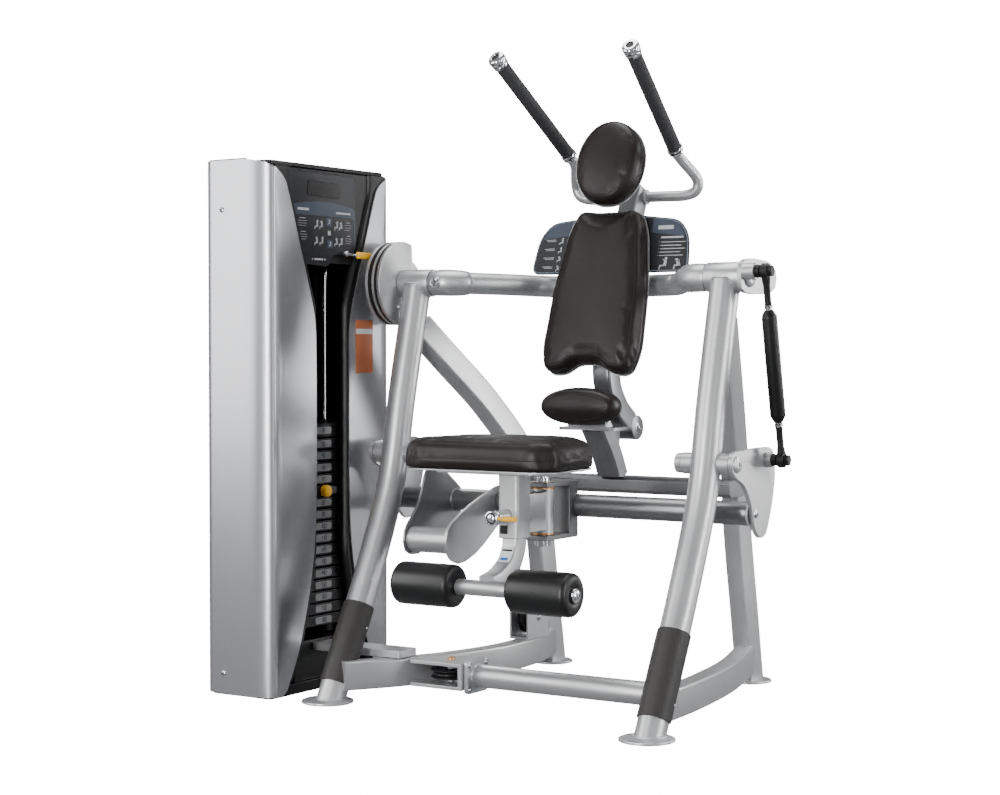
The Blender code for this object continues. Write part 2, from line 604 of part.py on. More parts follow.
def build_carriage():
    axis = (0.0, *LOWER)
    y, z, radius = CARRIAGE_TUBE
    cylinder("carriage_tube", "x", (y, z), radius, -0.5366, 0.5366, "grey", axis)
    outline = rounded([(0.318, 0.666), (0.440, 0.672), (0.552, 0.672), (0.566, 0.600), (0.545, 0.520),
                       (0.512, 0.452), (0.478, 0.440), (0.440, 0.470), (0.424, 0.535), (0.385, 0.585),
                       (0.330, 0.604), (0.306, 0.632)], 0.03)
    for label, side in SIDES:
        crank = plate(f"{label}_lower_crank", "x", outline, *signed(side, CRANK_IN, CRANK_IN + CRANK_T),
                      "silver", axis)
        join(crank, cylinder(f"{label}_lower_shaft", "x", LOWER, LOWER_SHAFT_R,
                             *signed(side, 0.396, CRANK_IN + 0.004), count=16),
             cylinder(f"{label}_lower_cap", "x", LOWER, 0.025, *signed(side, 0.388, 0.4046)))
        if side > 0:
            join(crank, cylinder("lower_stud_boss", "x", LOWER_STUD, 0.015, 0.545, 0.570),
                 cylinder("lower_stud", "x", LOWER_STUD, STUD_R, 0.560, 0.610, count=16))

    hanger = plate("hanger_plate", "x", rounded([(0.300, 0.600), (0.352, 0.612), (0.440, 0.560),
                                                 (0.490, 0.520), (0.470, 0.462), (0.330, 0.400),
                                                 (0.262, 0.368), (0.200, 0.380), (0.196, 0.440),
                                                 (0.262, 0.500), (0.284, 0.550)], 0.04),
                   -0.3560, -0.3480, "grey", axis)
    cut(hanger, tube_cutter("hanger_cope"))
    weight = cylinder("counterweight", "x", (0.238, 0.415), 0.034, -0.3476, -0.2100, "silver", axis)
    drop = plate("teardrop", "x", rounded([(0.452, 0.556), (0.495, 0.520), (0.470, 0.465), (0.330, 0.375),
                                           (0.240, 0.350), (0.182, 0.385), (0.184, 0.452),
                                           (0.300, 0.510)], 0.05), -0.2140, -0.2060)
    join(weight, drop)
    cut(weight, tube_cutter("teardrop_cope"))

    yoke = box("swivel_yoke", (-0.040, 0.040), (0.285, 0.440), (0.425, 0.575), "grey", axis)
    cut(yoke, box("yoke_room", (-0.06, 0.06), (0.2, 0.396), (0.438, 0.562)), tube_cutter("yoke_cope"),
        cylinder("yoke_bore", "z", (0.0, SWIVEL_Y), SWIVEL_R + 0.0004, 0.3, 0.7))
    pin = cylinder("swivel_pin", "z", (0.0, SWIVEL_Y), SWIVEL_R, 0.412, 0.590, "chrome", axis)
    join(pin, cylinder("swivel_pin_head", "z", (0.0, SWIVEL_Y), 0.022, 0.408, 0.4246),
         cylinder("swivel_pin_nut", "z", (0.0, SWIVEL_Y), 0.022, 0.5754, 0.586))


def build_seat():
    axis = (0.0, SWIVEL_Y, 0.5)
    under = SEAT_TOP - SEAT_T
    post = box("seat_post", (-0.030, 0.030), (0.155, 0.220), (0.440, under - 0.004), "silver", axis, 0.008)
    join(post, box("seat_shelf", (-0.150, 0.150), (0.040, 0.300), (under - 0.009, under - GAP),
                   radius=0.02),
         box("post_web", (-0.022, 0.022), (0.215, 0.315), (0.450, 0.550)),
         cylinder("post_sleeve", "z", (0.0, SWIVEL_Y), 0.030, 0.4384, 0.5616),
         cylinder("pin_barrel", "y", (-0.002, 0.497), 0.017, 0.098, 0.160))
    cut(post, cylinder("sleeve_bore", "z", (0.0, SWIVEL_Y), SWIVEL_R + 0.0008, 0.3, 0.7),
        cylinder("barrel_bore", "y", (-0.002, 0.497), 0.0066, 0.05, 0.190))
    pull = cylinder("pull_pin", "y", (-0.002, 0.497), 0.0060, 0.086, 0.186, "chrome",
                    origin=(-0.002, 0.09, 0.497), count=16)
    join(pull, cylinder("pull_head", "y", (-0.002, 0.497), 0.018, 0.078, 0.092),
         cylinder("pull_lever", "x", (0.085, 0.497), 0.0065, 0.010, 0.068, "yellow", count=12))

    half_w, front, back = 0.228, -0.016, 0.307
    outline = rounded([(-half_w, front + 0.03), (-half_w + 0.05, front), (half_w - 0.05, front),
                       (half_w, front + 0.03), (half_w - 0.02, back - 0.06), (0.120, back),
                       (-0.120, back), (-half_w + 0.02, back - 0.06)], 0.03)
    plate("seat_pad", "z", outline, under, SEAT_TOP, "vinyl", axis)

    arm = sweep("foot_arm", smooth_path([(0, 0.188, 0.4392), (0, 0.182, 0.410), (0, 0.155, 0.370),
                                         (0, 0.105, 0.342), (0, 0.040, 0.328)], 4),
                rectangle(0.046, 0.052), "silver", origin=axis)
    y, z, radius = ROLLER
    cut(arm, cylinder("foot_arm_cope", "x", (y, z), 0.0204, -0.1, 0.1),
        box("foot_arm_trim", (-0.1, 0.1), (-0.2, y), (0.2, 0.5)),
        box("foot_arm_top", (-0.1, 0.1), (0.1, 0.4), (0.4396, 0.6)))
    axle = cylinder("roller_axle", "x", (y, z), AXLE_R, -0.270, 0.270, "chrome", axis)
    join(axle, cylinder("axle_sleeve", "x", (y, z), 0.020, -0.080, 0.080))
    for label, side in SIDES:
        low, high = ROLLER_SPAN
        spin = [(side * low, 0.0135), (side * high, 0.0135), (side * high, radius - 0.016),
                (side * (high - 0.005), radius - 0.005), (side * (high - 0.016), radius),
                (side * (low + 0.016), radius), (side * (low + 0.005), radius - 0.005),
                (side * low, radius - 0.016)]
        turned(f"{label}_roller", "x", (y, z), spin, "rubber", (side * 0.17, y, z))


def build_link():
    origin = (ROD_X, *UPPER_STUD)
    top, low = Vector(origin), Vector((ROD_X, *LOWER_STUD))
    along = (low - top).normalized()
    rod = sweep("connecting_rod", [top + along * 0.010, low - along * 0.010], circle(0.0065, 12), "black",
                origin=origin)
    join(rod, sweep("rod_body", [top + along * 0.095, top + along * 0.110, low - along * 0.110,
                                 low - along * 0.095], circle(0.019, 20), "black"),
         cylinder("rod_eye_top", "x", UPPER_STUD, 0.019, ROD_X - 0.009, ROD_X + 0.009, count=20),
         cylinder("rod_eye_low", "x", LOWER_STUD, 0.019, ROD_X - 0.009, ROD_X + 0.009, count=20))
    cut(rod, cylinder("eye_bore_top", "x", UPPER_STUD, STUD_R + 0.0006, 0.5, 0.7, count=16),
        cylinder("eye_bore_low", "x", LOWER_STUD, STUD_R + EYE_SLACK, 0.5, 0.7, count=20))


build_frame()
build_base_pulleys()
build_tower()
build_arm()
build_carriage()
build_seat()
build_link()

for made in bpy.data.objects:
    made.location.x -= BOX_CENTRE[0]
    made.location.y -= BOX_CENTRE[1]
bpy.context.view_layer.update()
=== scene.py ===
"""The ab crunch machine's looks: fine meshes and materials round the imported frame."""
import json
import math

import bmesh
import bpy
from mathutils import Matrix, Vector
from mathutils.bvhtree import BVHTree

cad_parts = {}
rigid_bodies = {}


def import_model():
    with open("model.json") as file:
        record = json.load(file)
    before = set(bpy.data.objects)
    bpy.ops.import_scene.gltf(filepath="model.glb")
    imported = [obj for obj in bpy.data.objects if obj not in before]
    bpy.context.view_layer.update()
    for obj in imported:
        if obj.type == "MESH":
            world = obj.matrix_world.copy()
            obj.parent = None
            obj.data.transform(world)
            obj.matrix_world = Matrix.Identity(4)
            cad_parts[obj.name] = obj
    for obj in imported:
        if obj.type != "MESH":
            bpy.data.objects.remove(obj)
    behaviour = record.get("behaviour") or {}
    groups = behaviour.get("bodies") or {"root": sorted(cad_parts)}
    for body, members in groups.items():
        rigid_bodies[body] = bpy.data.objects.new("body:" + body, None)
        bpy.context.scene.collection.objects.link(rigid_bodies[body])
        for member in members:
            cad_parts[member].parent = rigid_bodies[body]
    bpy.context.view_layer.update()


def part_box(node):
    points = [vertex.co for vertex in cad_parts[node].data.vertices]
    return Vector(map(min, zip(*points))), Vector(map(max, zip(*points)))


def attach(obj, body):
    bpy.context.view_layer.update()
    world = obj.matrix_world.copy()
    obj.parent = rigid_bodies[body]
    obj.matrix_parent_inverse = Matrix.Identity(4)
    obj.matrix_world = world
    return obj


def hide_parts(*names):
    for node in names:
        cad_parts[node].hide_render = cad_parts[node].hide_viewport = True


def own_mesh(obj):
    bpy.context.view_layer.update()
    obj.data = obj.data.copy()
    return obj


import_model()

# ---- the frame's own dimensions, in metres ---------------------------------------
FOOT_FRONT = -0.046                # y of the front feet's front edge on the machine's own axes
LEG_X, LEG_R = 0.470, 0.038
FOOT_CUT = 0.002                   # height of the legs' level ends, inside their discs
UPPER, LOWER = (0.440, 1.100), (0.338, 0.636)
UPPER_STUD, LOWER_STUD, ROD_X = (0.410, 1.112), (0.512, 0.640), 0.590
TUBE_Y, TUBE_Z, TUBE_R = 0.446, 0.507, 0.030
SWIVEL_Y = 0.325
SEAT_TOP, SEAT_T = 0.698, 0.080
ROLLER_Y, ROLLER_Z, ROLLER_R = 0.050, 0.325, 0.0545
ROLLER_SPAN = (0.083, 0.257)
LEAN = math.radians(16.3)
PAD_BASE, PAD_T, HEAD_BACK = (0.520, 0.862), 0.060, 0.022
RAIL_W, RAIL_H, RAIL_Z = 0.050, 0.075, 0.068
TOWER_Y, TOWER_FACE, TOWER_BACK, TOWER_HALF, TOWER_H = 0.220, -0.600, -0.828, 0.270, 1.415
STACK_X, STACK_Z, PITCH = -0.705, 0.166, 0.032
FIXED_PLATES, LIFTED_PLATES = 11, 5
PLATE_FACE, PLATE_BACK, PLATE_HALF = -0.635, -0.775, 0.160
GUIDE_OFFSET = 0.100               # each guide rod's distance from the stack's middle
CABLE_SPAN, STACK_TRAVEL = (0.7655, 1.342), 0.12
FOOT_ARM = ((0, 0.188, 0.4392), (0, 0.182, 0.410), (0, 0.155, 0.370), (0, 0.105, 0.342),
            (0, 0.060, 0.331))     # centre line of the arm that carries the foot rollers
REAR_FOOT = (0.318, 0.905)
BASE_PULLEY, REAR_PULLEY, TOP_PULLEY = (-0.228, 0.240), (0.680, 0.165), (-0.7555, 1.345)
MAST_TAIL, BELT_BOLT, PULL_PIN, LEVER_BOSS = (0.790, 0.700), (0.420, 1.035), (-0.002, 0.497), (0.275, 1.178)
HUB_R, FOOT_DISC_TOP = 0.0380, 0.0098
SIGN_FACE = -0.6092                # x of the tower placard's face
SIDES = (("left", -1), ("right", 1))
WAYS = (("l", -1), ("r", 1))
SHROUDS = (("front", False), ("rear", True))

# ---- cloth simulation of the pads --------------------------------------------------
VOXEL = 0.0055                     # size of the remeshed skin's cells
PRESSURE, LAST_FRAME = 4.0, 20
SWELL_CAP = 0.0045                 # how far a point of a pad's skin may move
HELD_DEPTH = 0.012                 # the layer at a pad's back that stays still


def frame_shift():
    """From the machine's own axes to the frame's: both legs' middle, and the feet's front."""
    left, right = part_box("left_leg"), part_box("right_leg")
    return Vector(((left[0][0] + right[1][0]) / 2, right[0][1] - FOOT_FRONT, 0.0))


SHIFT = frame_shift()


# ---- materials ---------------------------------------------------------------------
def node(tree, kind, **values):
    """A new shader node, with inputs and settings given by name."""
    made = tree.nodes.new(kind)
    for key, value in values.items():
        if key in made.inputs:
            made.inputs[key].default_value = value
        else:
            setattr(made, key, value)
    return made


def surface(name, colour, rough, metal=0.0, spread=0.06, patch=7.0, grain=900.0, depth=0.00004,
            rough_spread=0.06, coat=0.0, coat_rough=0.1, cells=0.0, cell_depth=0.0, specular=0.5):
    """A Principled material: patchy colour, uneven roughness, and a fine grain in relief."""
    made = bpy.data.materials.new(name)
    made.use_nodes = True
    tree = made.node_tree
    shader = tree.nodes["Principled BSDF"]
    shader.inputs["Metallic"].default_value = metal
    shader.inputs["Coat Weight"].default_value = coat
    shader.inputs["Coat Roughness"].default_value = coat_rough
    shader.inputs["Specular IOR Level"].default_value = specular
    where = tree.nodes.new("ShaderNodeTexCoord").outputs["Object"]
    link = tree.links.new

    broad = node(tree, "ShaderNodeTexNoise", Scale=patch, Detail=4.0, Roughness=0.6)
    link(where, broad.inputs["Vector"])
    ramp = tree.nodes.new("ShaderNodeValToRGB")
    ramp.color_ramp.elements[0].position, ramp.color_ramp.elements[1].position = 0.3, 0.7
    for element, gain in zip(ramp.color_ramp.elements, (1 - spread, 1 + spread)):
        element.color = (*[min(1.0, c * gain) for c in colour], 1.0)
    link(broad.outputs["Fac"], ramp.inputs["Fac"])
    link(ramp.outputs["Color"], shader.inputs["Base Color"])

    fine = node(tree, "ShaderNodeTexNoise", Scale=grain, Detail=3.0, Roughness=0.55)
    link(where, fine.inputs["Vector"])
    reach = node(tree, "ShaderNodeMapRange")
    reach.inputs["To Min"].default_value = max(0.02, rough - rough_spread)
    reach.inputs["To Max"].default_value = min(1.0, rough + rough_spread)
    link(broad.outputs["Fac"], reach.inputs["Value"])
    link(reach.outputs["Result"], shader.inputs["Roughness"])

    bump = node(tree, "ShaderNodeBump", Strength=1.0, Distance=depth)
    link(fine.outputs["Fac"], bump.inputs["Height"])
    if cells:
        pebble = node(tree, "ShaderNodeTexVoronoi", Scale=cells)
        pebble.feature = "SMOOTH_F1"
        link(where, pebble.inputs["Vector"])
        more = node(tree, "ShaderNodeBump", Strength=1.0, Distance=cell_depth)
        link(pebble.outputs["Distance"], more.inputs["Height"])
        link(bump.outputs["Normal"], more.inputs["Normal"])
        bump = more
    link(bump.outputs["Normal"], shader.inputs["Normal"])
    return made


LOOKS = {
    "silver": surface("silver_coat", (0.50, 0.505, 0.515), 0.40, 0.80, 0.02, grain=1500, depth=0.00002,
                      coat=0.10, coat_rough=0.35),
    "grey": surface("grey_coat", (0.20, 0.203, 0.21), 0.34, 0.80, 0.04, grain=1500, depth=0.00003,
                    coat=0.2, coat_rough=0.25),
    "shroud": surface("shroud_coat", (0.42, 0.426, 0.444), 0.29, 0.85, 0.008, patch=3.0, grain=1800,
                      depth=0.000006, rough_spread=0.004, coat=0.3, coat_rough=0.15),
    "vinyl": surface("pad_vinyl", (0.0105, 0.0078, 0.0070), 0.40, 0.0, 0.10, patch=9.0, grain=500,
                     depth=0.00006, cells=700, cell_depth=0.00010, specular=0.30),
    "foam": surface("roller_foam", (0.0045, 0.0045, 0.0050), 0.36, 0.0, 0.12, grain=1400, depth=0.00008,
                    cells=900, cell_depth=0.00005, specular=0.50),
    "grip": surface("grip_foam", (0.034, 0.034, 0.036), 0.70, 0.0, 0.08, grain=1400, depth=0.00004,
                    specular=0.3),
    "rubber": surface("rubber", (0.006, 0.006, 0.006), 0.5, 0.0, 0.1, grain=700, depth=0.0001,
                      specular=0.3),
    "plastic": surface("black_plastic", (0.0045, 0.0045, 0.005), 0.38, 0.0, 0.1, grain=900,
                       depth=0.00006, specular=0.3),
    "guard": surface("guard_plastic", (0.034, 0.0325, 0.0315), 0.5, 0.0, 0.06, grain=1300, depth=0.00008,
                     specular=0.3),
    "chrome": surface("chrome", (0.80, 0.81, 0.83), 0.10, 1.0, 0.02, grain=300, depth=0.000004,
                      rough_spread=0.04),
    "steel": surface("bright_steel", (0.55, 0.55, 0.56), 0.22, 1.0, 0.05, grain=900, depth=0.00002),
    "iron": surface("plate_iron", (0.005, 0.005, 0.0055), 0.45, 0.1, 0.15, grain=700, depth=0.0001,
                    specular=0.3),
    "yellow": surface("yellow_plastic", (0.88, 0.46, 0.006), 0.34, 0.0, 0.04, grain=600, depth=0.00004,
                      coat=0.2),
    "label": surface("placard_film", (0.011, 0.012, 0.0155), 0.34, 0.0, 0.05, grain=600, depth=0.00002,
                     specular=0.3),
    "header": surface("placard_header", (0.040, 0.052, 0.078), 0.36, 0.0, 0.05, grain=600,
                      depth=0.00002, specular=0.3),
    "print": surface("placard_print", (0.42, 0.43, 0.45), 0.5, 0.0, 0.05, grain=600, depth=0.00002),
    "tag": surface("weight_tag", (0.16, 0.165, 0.17), 0.45, 0.2, 0.08, grain=600, depth=0.00003),
    "bronze": surface("bronze_bush", (0.50, 0.27, 0.13), 0.28, 1.0, 0.10, grain=500, depth=0.00002),
    "white": surface("white_film", (0.72, 0.73, 0.74), 0.45, 0.0, 0.03, grain=500, depth=0.00002),
    "edge": surface("placard_edge", (0.16, 0.19, 0.23), 0.4, 0.2, 0.05, grain=600, depth=0.00002),
    "thread": surface("seam_thread", (0.012, 0.010, 0.0095), 0.7, 0.0, 0.1, grain=900, depth=0.00002,
                      specular=0.2),
    "blue": surface("blue_film", (0.015, 0.15, 0.55), 0.45, 0.0, 0.03, grain=500, depth=0.00002),
    "orange": surface("orange_film", (0.48, 0.13, 0.05), 0.5, 0.0, 0.05, grain=500, depth=0.00002),
}


# ---- mesh helpers --------------------------------------------------------------------
def in_scene(name, data):
    """A new object in the scene."""
    made = bpy.data.objects.new(name, data)
    bpy.context.scene.collection.objects.link(made)
    return made


def piece(name, mesh, look, body, replaces=(), bevel=0.0, sharp=38, shift=True):
    """Finish a bmesh drawn on the machine's axes as a named piece that rides on a body."""
    bmesh.ops.recalc_face_normals(mesh, faces=mesh.faces)
    data = bpy.data.meshes.new(name)
    if shift:
        mesh.transform(Matrix.Translation(SHIFT))
    mesh.to_mesh(data)
    mesh.free()
    data.shade_smooth()
    data.set_sharp_from_angle(angle=math.radians(sharp))
    made = in_scene(name, data)
    data.materials.append(LOOKS[look])
    if bevel:
        edge = made.modifiers.new("edges", "BEVEL")
        edge.width, edge.segments, edge.limit_method = bevel, 2, "ANGLE"
        edge.angle_limit = math.radians(sharp)
        edge.harden_normals = True
    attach(made, body)
    if replaces:
        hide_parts(*replaces)
    return made


def loft_mesh(rings, closed=False, mesh=None):
    """Faces between rings of points; the ends are capped unless the run is closed."""
    mesh = mesh or bmesh.new()
    rows = [[mesh.verts.new(p) for p in ring] for ring in rings]
    count = len(rows[0])
    pairs = list(zip(rows, rows[1:]))
    if closed:
        pairs.append((rows[-1], rows[0]))
    for low, high in pairs:
        for i in range(count):
            j = (i + 1) % count
            mesh.faces.new((low[i], low[j], high[j], high[i]))
    if not closed:
        mesh.faces.new(rows[0][::-1])
        mesh.faces.new(rows[-1])
    return mesh


def smooth_path(points, steps=10):
    """A smooth curve through the points, with steps to each stretch."""
    pts = [Vector(p) for p in points]
    pts = [2 * pts[0] - pts[1]] + pts + [2 * pts[-1] - pts[-2]]
    out = []
    for a, b, c, d in zip(pts, pts[1:], pts[2:], pts[3:]):
        for k in range(steps):
            t = k / steps
            out.append(0.5 * (2 * b + (c - a) * t + (2 * a - 5 * b + 4 * c - d) * t * t
                              + (3 * b - a - 3 * c + d) * t ** 3))
    out.append(pts[-2])
    return out


def sweep_rings(path, section, side=(1, 0, 0)):
    """Rings of a section carried along a path without twisting; section may depend on progress."""
    path = [Vector(p) for p in path]
    first = Vector(side)
    rings = []
    for i, here in enumerate(path):
        ahead = (path[min(i + 1, len(path) - 1)] - path[max(i - 1, 0)]).normalized()
        first = (first - ahead * first.dot(ahead)).normalized()
        second = ahead.cross(first)
        shape = section(i / (len(path) - 1)) if callable(section) else section
        rings.append([here + first * a + second * b for a, b in shape])
    return rings


def turns(count):
    """Even angles round a full turn."""
    return [math.tau * i / count for i in range(count)]


def circle(radius, count=40):
    """A round section."""
    return [(radius * math.cos(t), radius * math.sin(t)) for t in turns(count)]


def rounded(points, radius, steps=6):
    """An outline with its corners rounded off."""
    out = []
    count = len(points)
    for i in range(count):
        here = Vector(points[i])
        before = Vector(points[i - 1]) - here
        after = Vector(points[(i + 1) % count]) - here
        reach = min(radius, 0.45 * before.length, 0.45 * after.length)
        start = here + before.normalized() * reach
        end = here + after.normalized() * reach
        for k in range(steps + 1):
            t = k / steps
            out.append(tuple((1 - t) ** 2 * start + 2 * t * (1 - t) * here + t * t * end))
    return out


def rectangle(width, height, radius=0.009, steps=4):
    """A rectangular section with round corners."""
    a, b = width / 2, height / 2
    return rounded([(-a, -b), (a, -b), (a, b), (-a, b)], radius, steps)


def place(axis, a, b, along):
    """A point from its two cross coordinates and its place along an axis."""
    out = [a, b]
    out.insert("xyz".index(axis), along)
    return out


def turned(name, axis, centre, profile, look, body, replaces=(), count=48, sharp=38):
    """Turn an open profile of (along, radius) about an axis; zero radii close its ends."""
    mesh = bmesh.new()
    rings = []
    for along, radius in profile:
        if radius <= 1e-6:
            rings.append([mesh.verts.new(place(axis, *centre, along))])
            continue
        rings.append([mesh.verts.new(place(axis, centre[0] + radius * math.cos(t),
                                           centre[1] + radius * math.sin(t), along))
                      for t in turns(count)])
    for low, high in zip(rings, rings[1:]):
        for i in range(count):
            j = (i + 1) % count
            if len(low) == 1:
                mesh.faces.new((low[0], high[j], high[i]))
            elif len(high) == 1:
                mesh.faces.new((low[i], low[j], high[0]))
            else:
                mesh.faces.new((low[i], low[j], high[j], high[i]))
    return piece(name, mesh, look, body, replaces, sharp=sharp)


def mirrored(side, profile):
    """A profile along X moved to one side of the machine."""
    return [(side * x, r) for x, r in profile]


def collar(name, axis, centre, inner, outer, low, high, look, body, count=48):
    """A plain ring of square section."""
    profile = [(low, inner), (low, outer), (high, outer), (high, inner), (low, inner)]
    return turned(name, axis, centre, profile, look, body, count=count)


def rod(name, axis, centre, radius, low, high, look, body, replaces=(), edge=0.0015, count=48):
    """A solid cylinder with a small round on both rims."""
    low, high = min(low, high), max(low, high)
    k = edge * 0.3
    profile = [(low, 0.0), (low, radius - edge), (low + k, radius - k), (low + edge, radius),
               (high - edge, radius), (high - k, radius - k), (high, radius - edge), (high, 0.0)]
    return turned(name, axis, centre, profile, look, body, replaces, count)


def plate(name, axis, outline, low, high, look, body, replaces=(), bevel=0.0018):
    """An outline given thickness along an axis."""
    rings = [[place(axis, a, b, end) for a, b in outline] for end in sorted((low, high))]
    return piece(name, loft_mesh(rings), look, body, replaces, bevel)


def slab(name, x, y, z, look, body, replaces=(), radius=0.0, bevel=0.0015):
    """A level rectangular plate."""
    outline = [(x[0], y[0]), (x[1], y[0]), (x[1], y[1]), (x[0], y[1])]
    if radius:
        outline = rounded(outline, radius)
    return plate(name, "z", outline, z[0], z[1], look, body, replaces, bevel)


def bolt(name, axis, centre, face, way, size, look, body, washer=True):
    """A hexagon-socket button head on a washer, standing off a face along way (+1 or -1)."""
    low = face
    if washer:
        rod(f"{name}_washer", axis, centre, size * 1.45, low, low + way * 0.0016, look, body, edge=0.0004,
            count=28)
        low += way * 0.0016
    top = size * 0.62
    profile = [(low, 0.0), (low, size * 0.98), (low + way * top * 0.35, size * 0.95),
               (low + way * top * 0.75, size * 0.78), (low + way * top, size * 0.48),
               (low + way * top * 0.97, size * 0.42), (low + way * top * 0.45, size * 0.40),
               (low + way * top * 0.45, 0.0)]
    turned(name, axis, centre, profile, look, body, count=24)


def weld(name, path, radius, inside, body, look="silver", bead=0.0026, count=72, side=(1, 0, 0)):
    """A rippled weld bead where a tube's skin first enters the solid that inside() describes."""
    path = [Vector(p) for p in path]
    frames = []
    first = Vector(side)
    for i, here in enumerate(path):
        ahead = (path[min(i + 1, len(path) - 1)] - path[max(i - 1, 0)]).normalized()
        first = (first - ahead * first.dot(ahead)).normalized()
        frames.append((here, first.copy(), ahead.cross(first)))
    line = []
    for t in turns(count):
        a, b = math.cos(t) * radius, math.sin(t) * radius
        last = None
        for here, one, two in frames:
            spot = here + one * a + two * b
            if inside(spot):
                break
            last = spot
        if last is None:
            return
        low, high = last, spot
        for _ in range(14):
            middle = (low + high) / 2
            if inside(middle):
                high = middle
            else:
                low = middle
        line.append(low)
    rings = []
    for k, here in enumerate(line):
        ahead = (line[(k + 1) % count] - line[k - 1]).normalized()
        out = here - sum(line, Vector()) / count
        out = (out - ahead * out.dot(ahead)).normalized()
        size = bead * (1.0 + 0.16 * math.sin(k * math.tau / 3.0))
        other = ahead.cross(out)
        rings.append([here + out * size * math.cos(t) + other * size * math.sin(t)
                      for t in turns(8)])
    piece(name, loft_mesh(rings, closed=True), look, body)


def refine(node_name, look, body, bevel):
    """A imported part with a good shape, redrawn with softened edges."""
    source = next(o for o in bpy.data.objects if o.name == node_name or o.get("node") == node_name)
    mesh = bmesh.new()
    mesh.from_mesh(source.data)
    mesh.transform(source.matrix_world)
    bmesh.ops.remove_doubles(mesh, verts=mesh.verts, dist=0.00002)
    bmesh.ops.dissolve_limit(mesh, angle_limit=math.radians(1.0), verts=mesh.verts, edges=mesh.edges)
    return piece(f"{node_name}_fine", mesh, look, body, (node_name,), bevel, shift=False)


# ---- camera, light and floor -----------------------------------------------------------
CAMERA_AT, LENS, SENSOR = (2.673, -4.0885, 0.932), 71.64, 36.0
CAMERA_DIP, CAMERA_TURN = 1.54, 32.43      # degrees below level, and to the left of straight ahead
WORLD, BACKDROP = 0.30, 16.0       # strengths
LAMP_AIM = (0, 0, 0.8)
LAMPS = (                          # name, place, width and height, watts
    ("softbox", (-3.4, -3.6, 2.2), (2.6, 3.6), 150.0),
    ("strip_front", (0.0, -5.1, 1.4), (0.40, 3.4), 190.0),
    ("strip_camera", (4.2, -3.9, 1.4), (0.60, 3.0), 34.0),
    ("strip_right", (4.6, 0.4, 1.6), (0.6, 3.2), 110.0),
    ("strip_back", (3.0, 3.2, 1.8), (0.9, 3.0), 120.0),
    ("top", (-0.2, 0.2, 4.4), (3.0, 2.2), 130.0),
    ("rim_left", (-3.4, 2.6, 2.0), (0.9, 3.0), 90.0))


def build_studio():
    """The camera, the lamps and the plain surroundings."""
    camera = in_scene("camera", bpy.data.cameras.new("camera"))
    camera.location = Vector(CAMERA_AT) + SHIFT
    camera.rotation_euler = (math.radians(90.0 - CAMERA_DIP), 0.0, math.radians(CAMERA_TURN))
    camera.data.sensor_width = SENSOR
    camera.data.lens = LENS
    bpy.context.scene.camera = camera

    sweep_backdrop()
    world = bpy.data.worlds.new("studio")
    bpy.context.scene.world = world
    world.use_nodes = True
    world.node_tree.nodes["Background"].inputs["Color"].default_value = (0.96, 0.98, 1.0, 1.0)
    world.node_tree.nodes["Background"].inputs["Strength"].default_value = WORLD
    for name, spot, size, power in LAMPS:
        lamp = bpy.data.lights.new(name, "AREA")
        lamp.shape, lamp.size, lamp.size_y, lamp.energy = "RECTANGLE", size[0], size[1], power
        lit = in_scene(name, lamp)
        lit.location = spot
        lit.rotation_euler = (Vector(LAMP_AIM) - Vector(spot)).to_track_quat("-Z", "Y").to_euler()


def sweep_backdrop():
    """A seamless white bowl round the machine: it shows behind it but doesn't light it."""
    made = bpy.data.materials.new("studio_sweep")
    made.use_nodes = True
    shader = made.node_tree.nodes["Principled BSDF"]
    shader.inputs["Base Color"].default_value = (0.9, 0.9, 0.9, 1.0)
    shader.inputs["Roughness"].default_value = 0.9
    shader.inputs["Emission Color"].default_value = (1.0, 1.0, 1.0, 1.0)
    shader.inputs["Emission Strength"].default_value = BACKDROP
    floor, bend, top, below, count = 12.0, 8.0, 26.0, 0.0005, 96
    curve = [(floor, 0.0)] + [(floor + bend * math.sin(t), bend - bend * math.cos(t))
                              for t in (math.pi / 2 * k / 16 for k in range(1, 17))]
    curve += [(floor + bend, top), (0.5, top + bend)]
    mesh = bmesh.new()
    rows = [[mesh.verts.new((a, b, z - below)) for a, b in circle(r, count)] for r, z in curve]
    mesh.faces.new(rows[0])
    for low, high in zip(rows, rows[1:]):
        for i in range(count):
            j = (i + 1) % count
            mesh.faces.new((low[i], low[j], high[j], high[i]))
    data = bpy.data.meshes.new("sweep")
    mesh.to_mesh(data)
    mesh.free()
    data.shade_smooth()
    sheet = in_scene("sweep", data)
    data.materials.append(made)
    sheet.visible_diffuse = sheet.visible_glossy = sheet.visible_shadow = False


# ---- cushions --------------------------------------------------------------------------
def resample(outline, count):
    """Even points along a closed outline."""
    pts = [Vector(p) for p in outline]
    lengths = [(pts[(i + 1) % len(pts)] - pts[i]).length for i in range(len(pts))]
    total, out, i, run = sum(lengths), [], 0, 0.0
    for k in range(count):
        target = total * k / count
        while run + lengths[i] < target:
            run += lengths[i]
            i += 1
        t = (target - run) / lengths[i]
        out.append(pts[i].lerp(pts[(i + 1) % len(pts)], t))
    return out


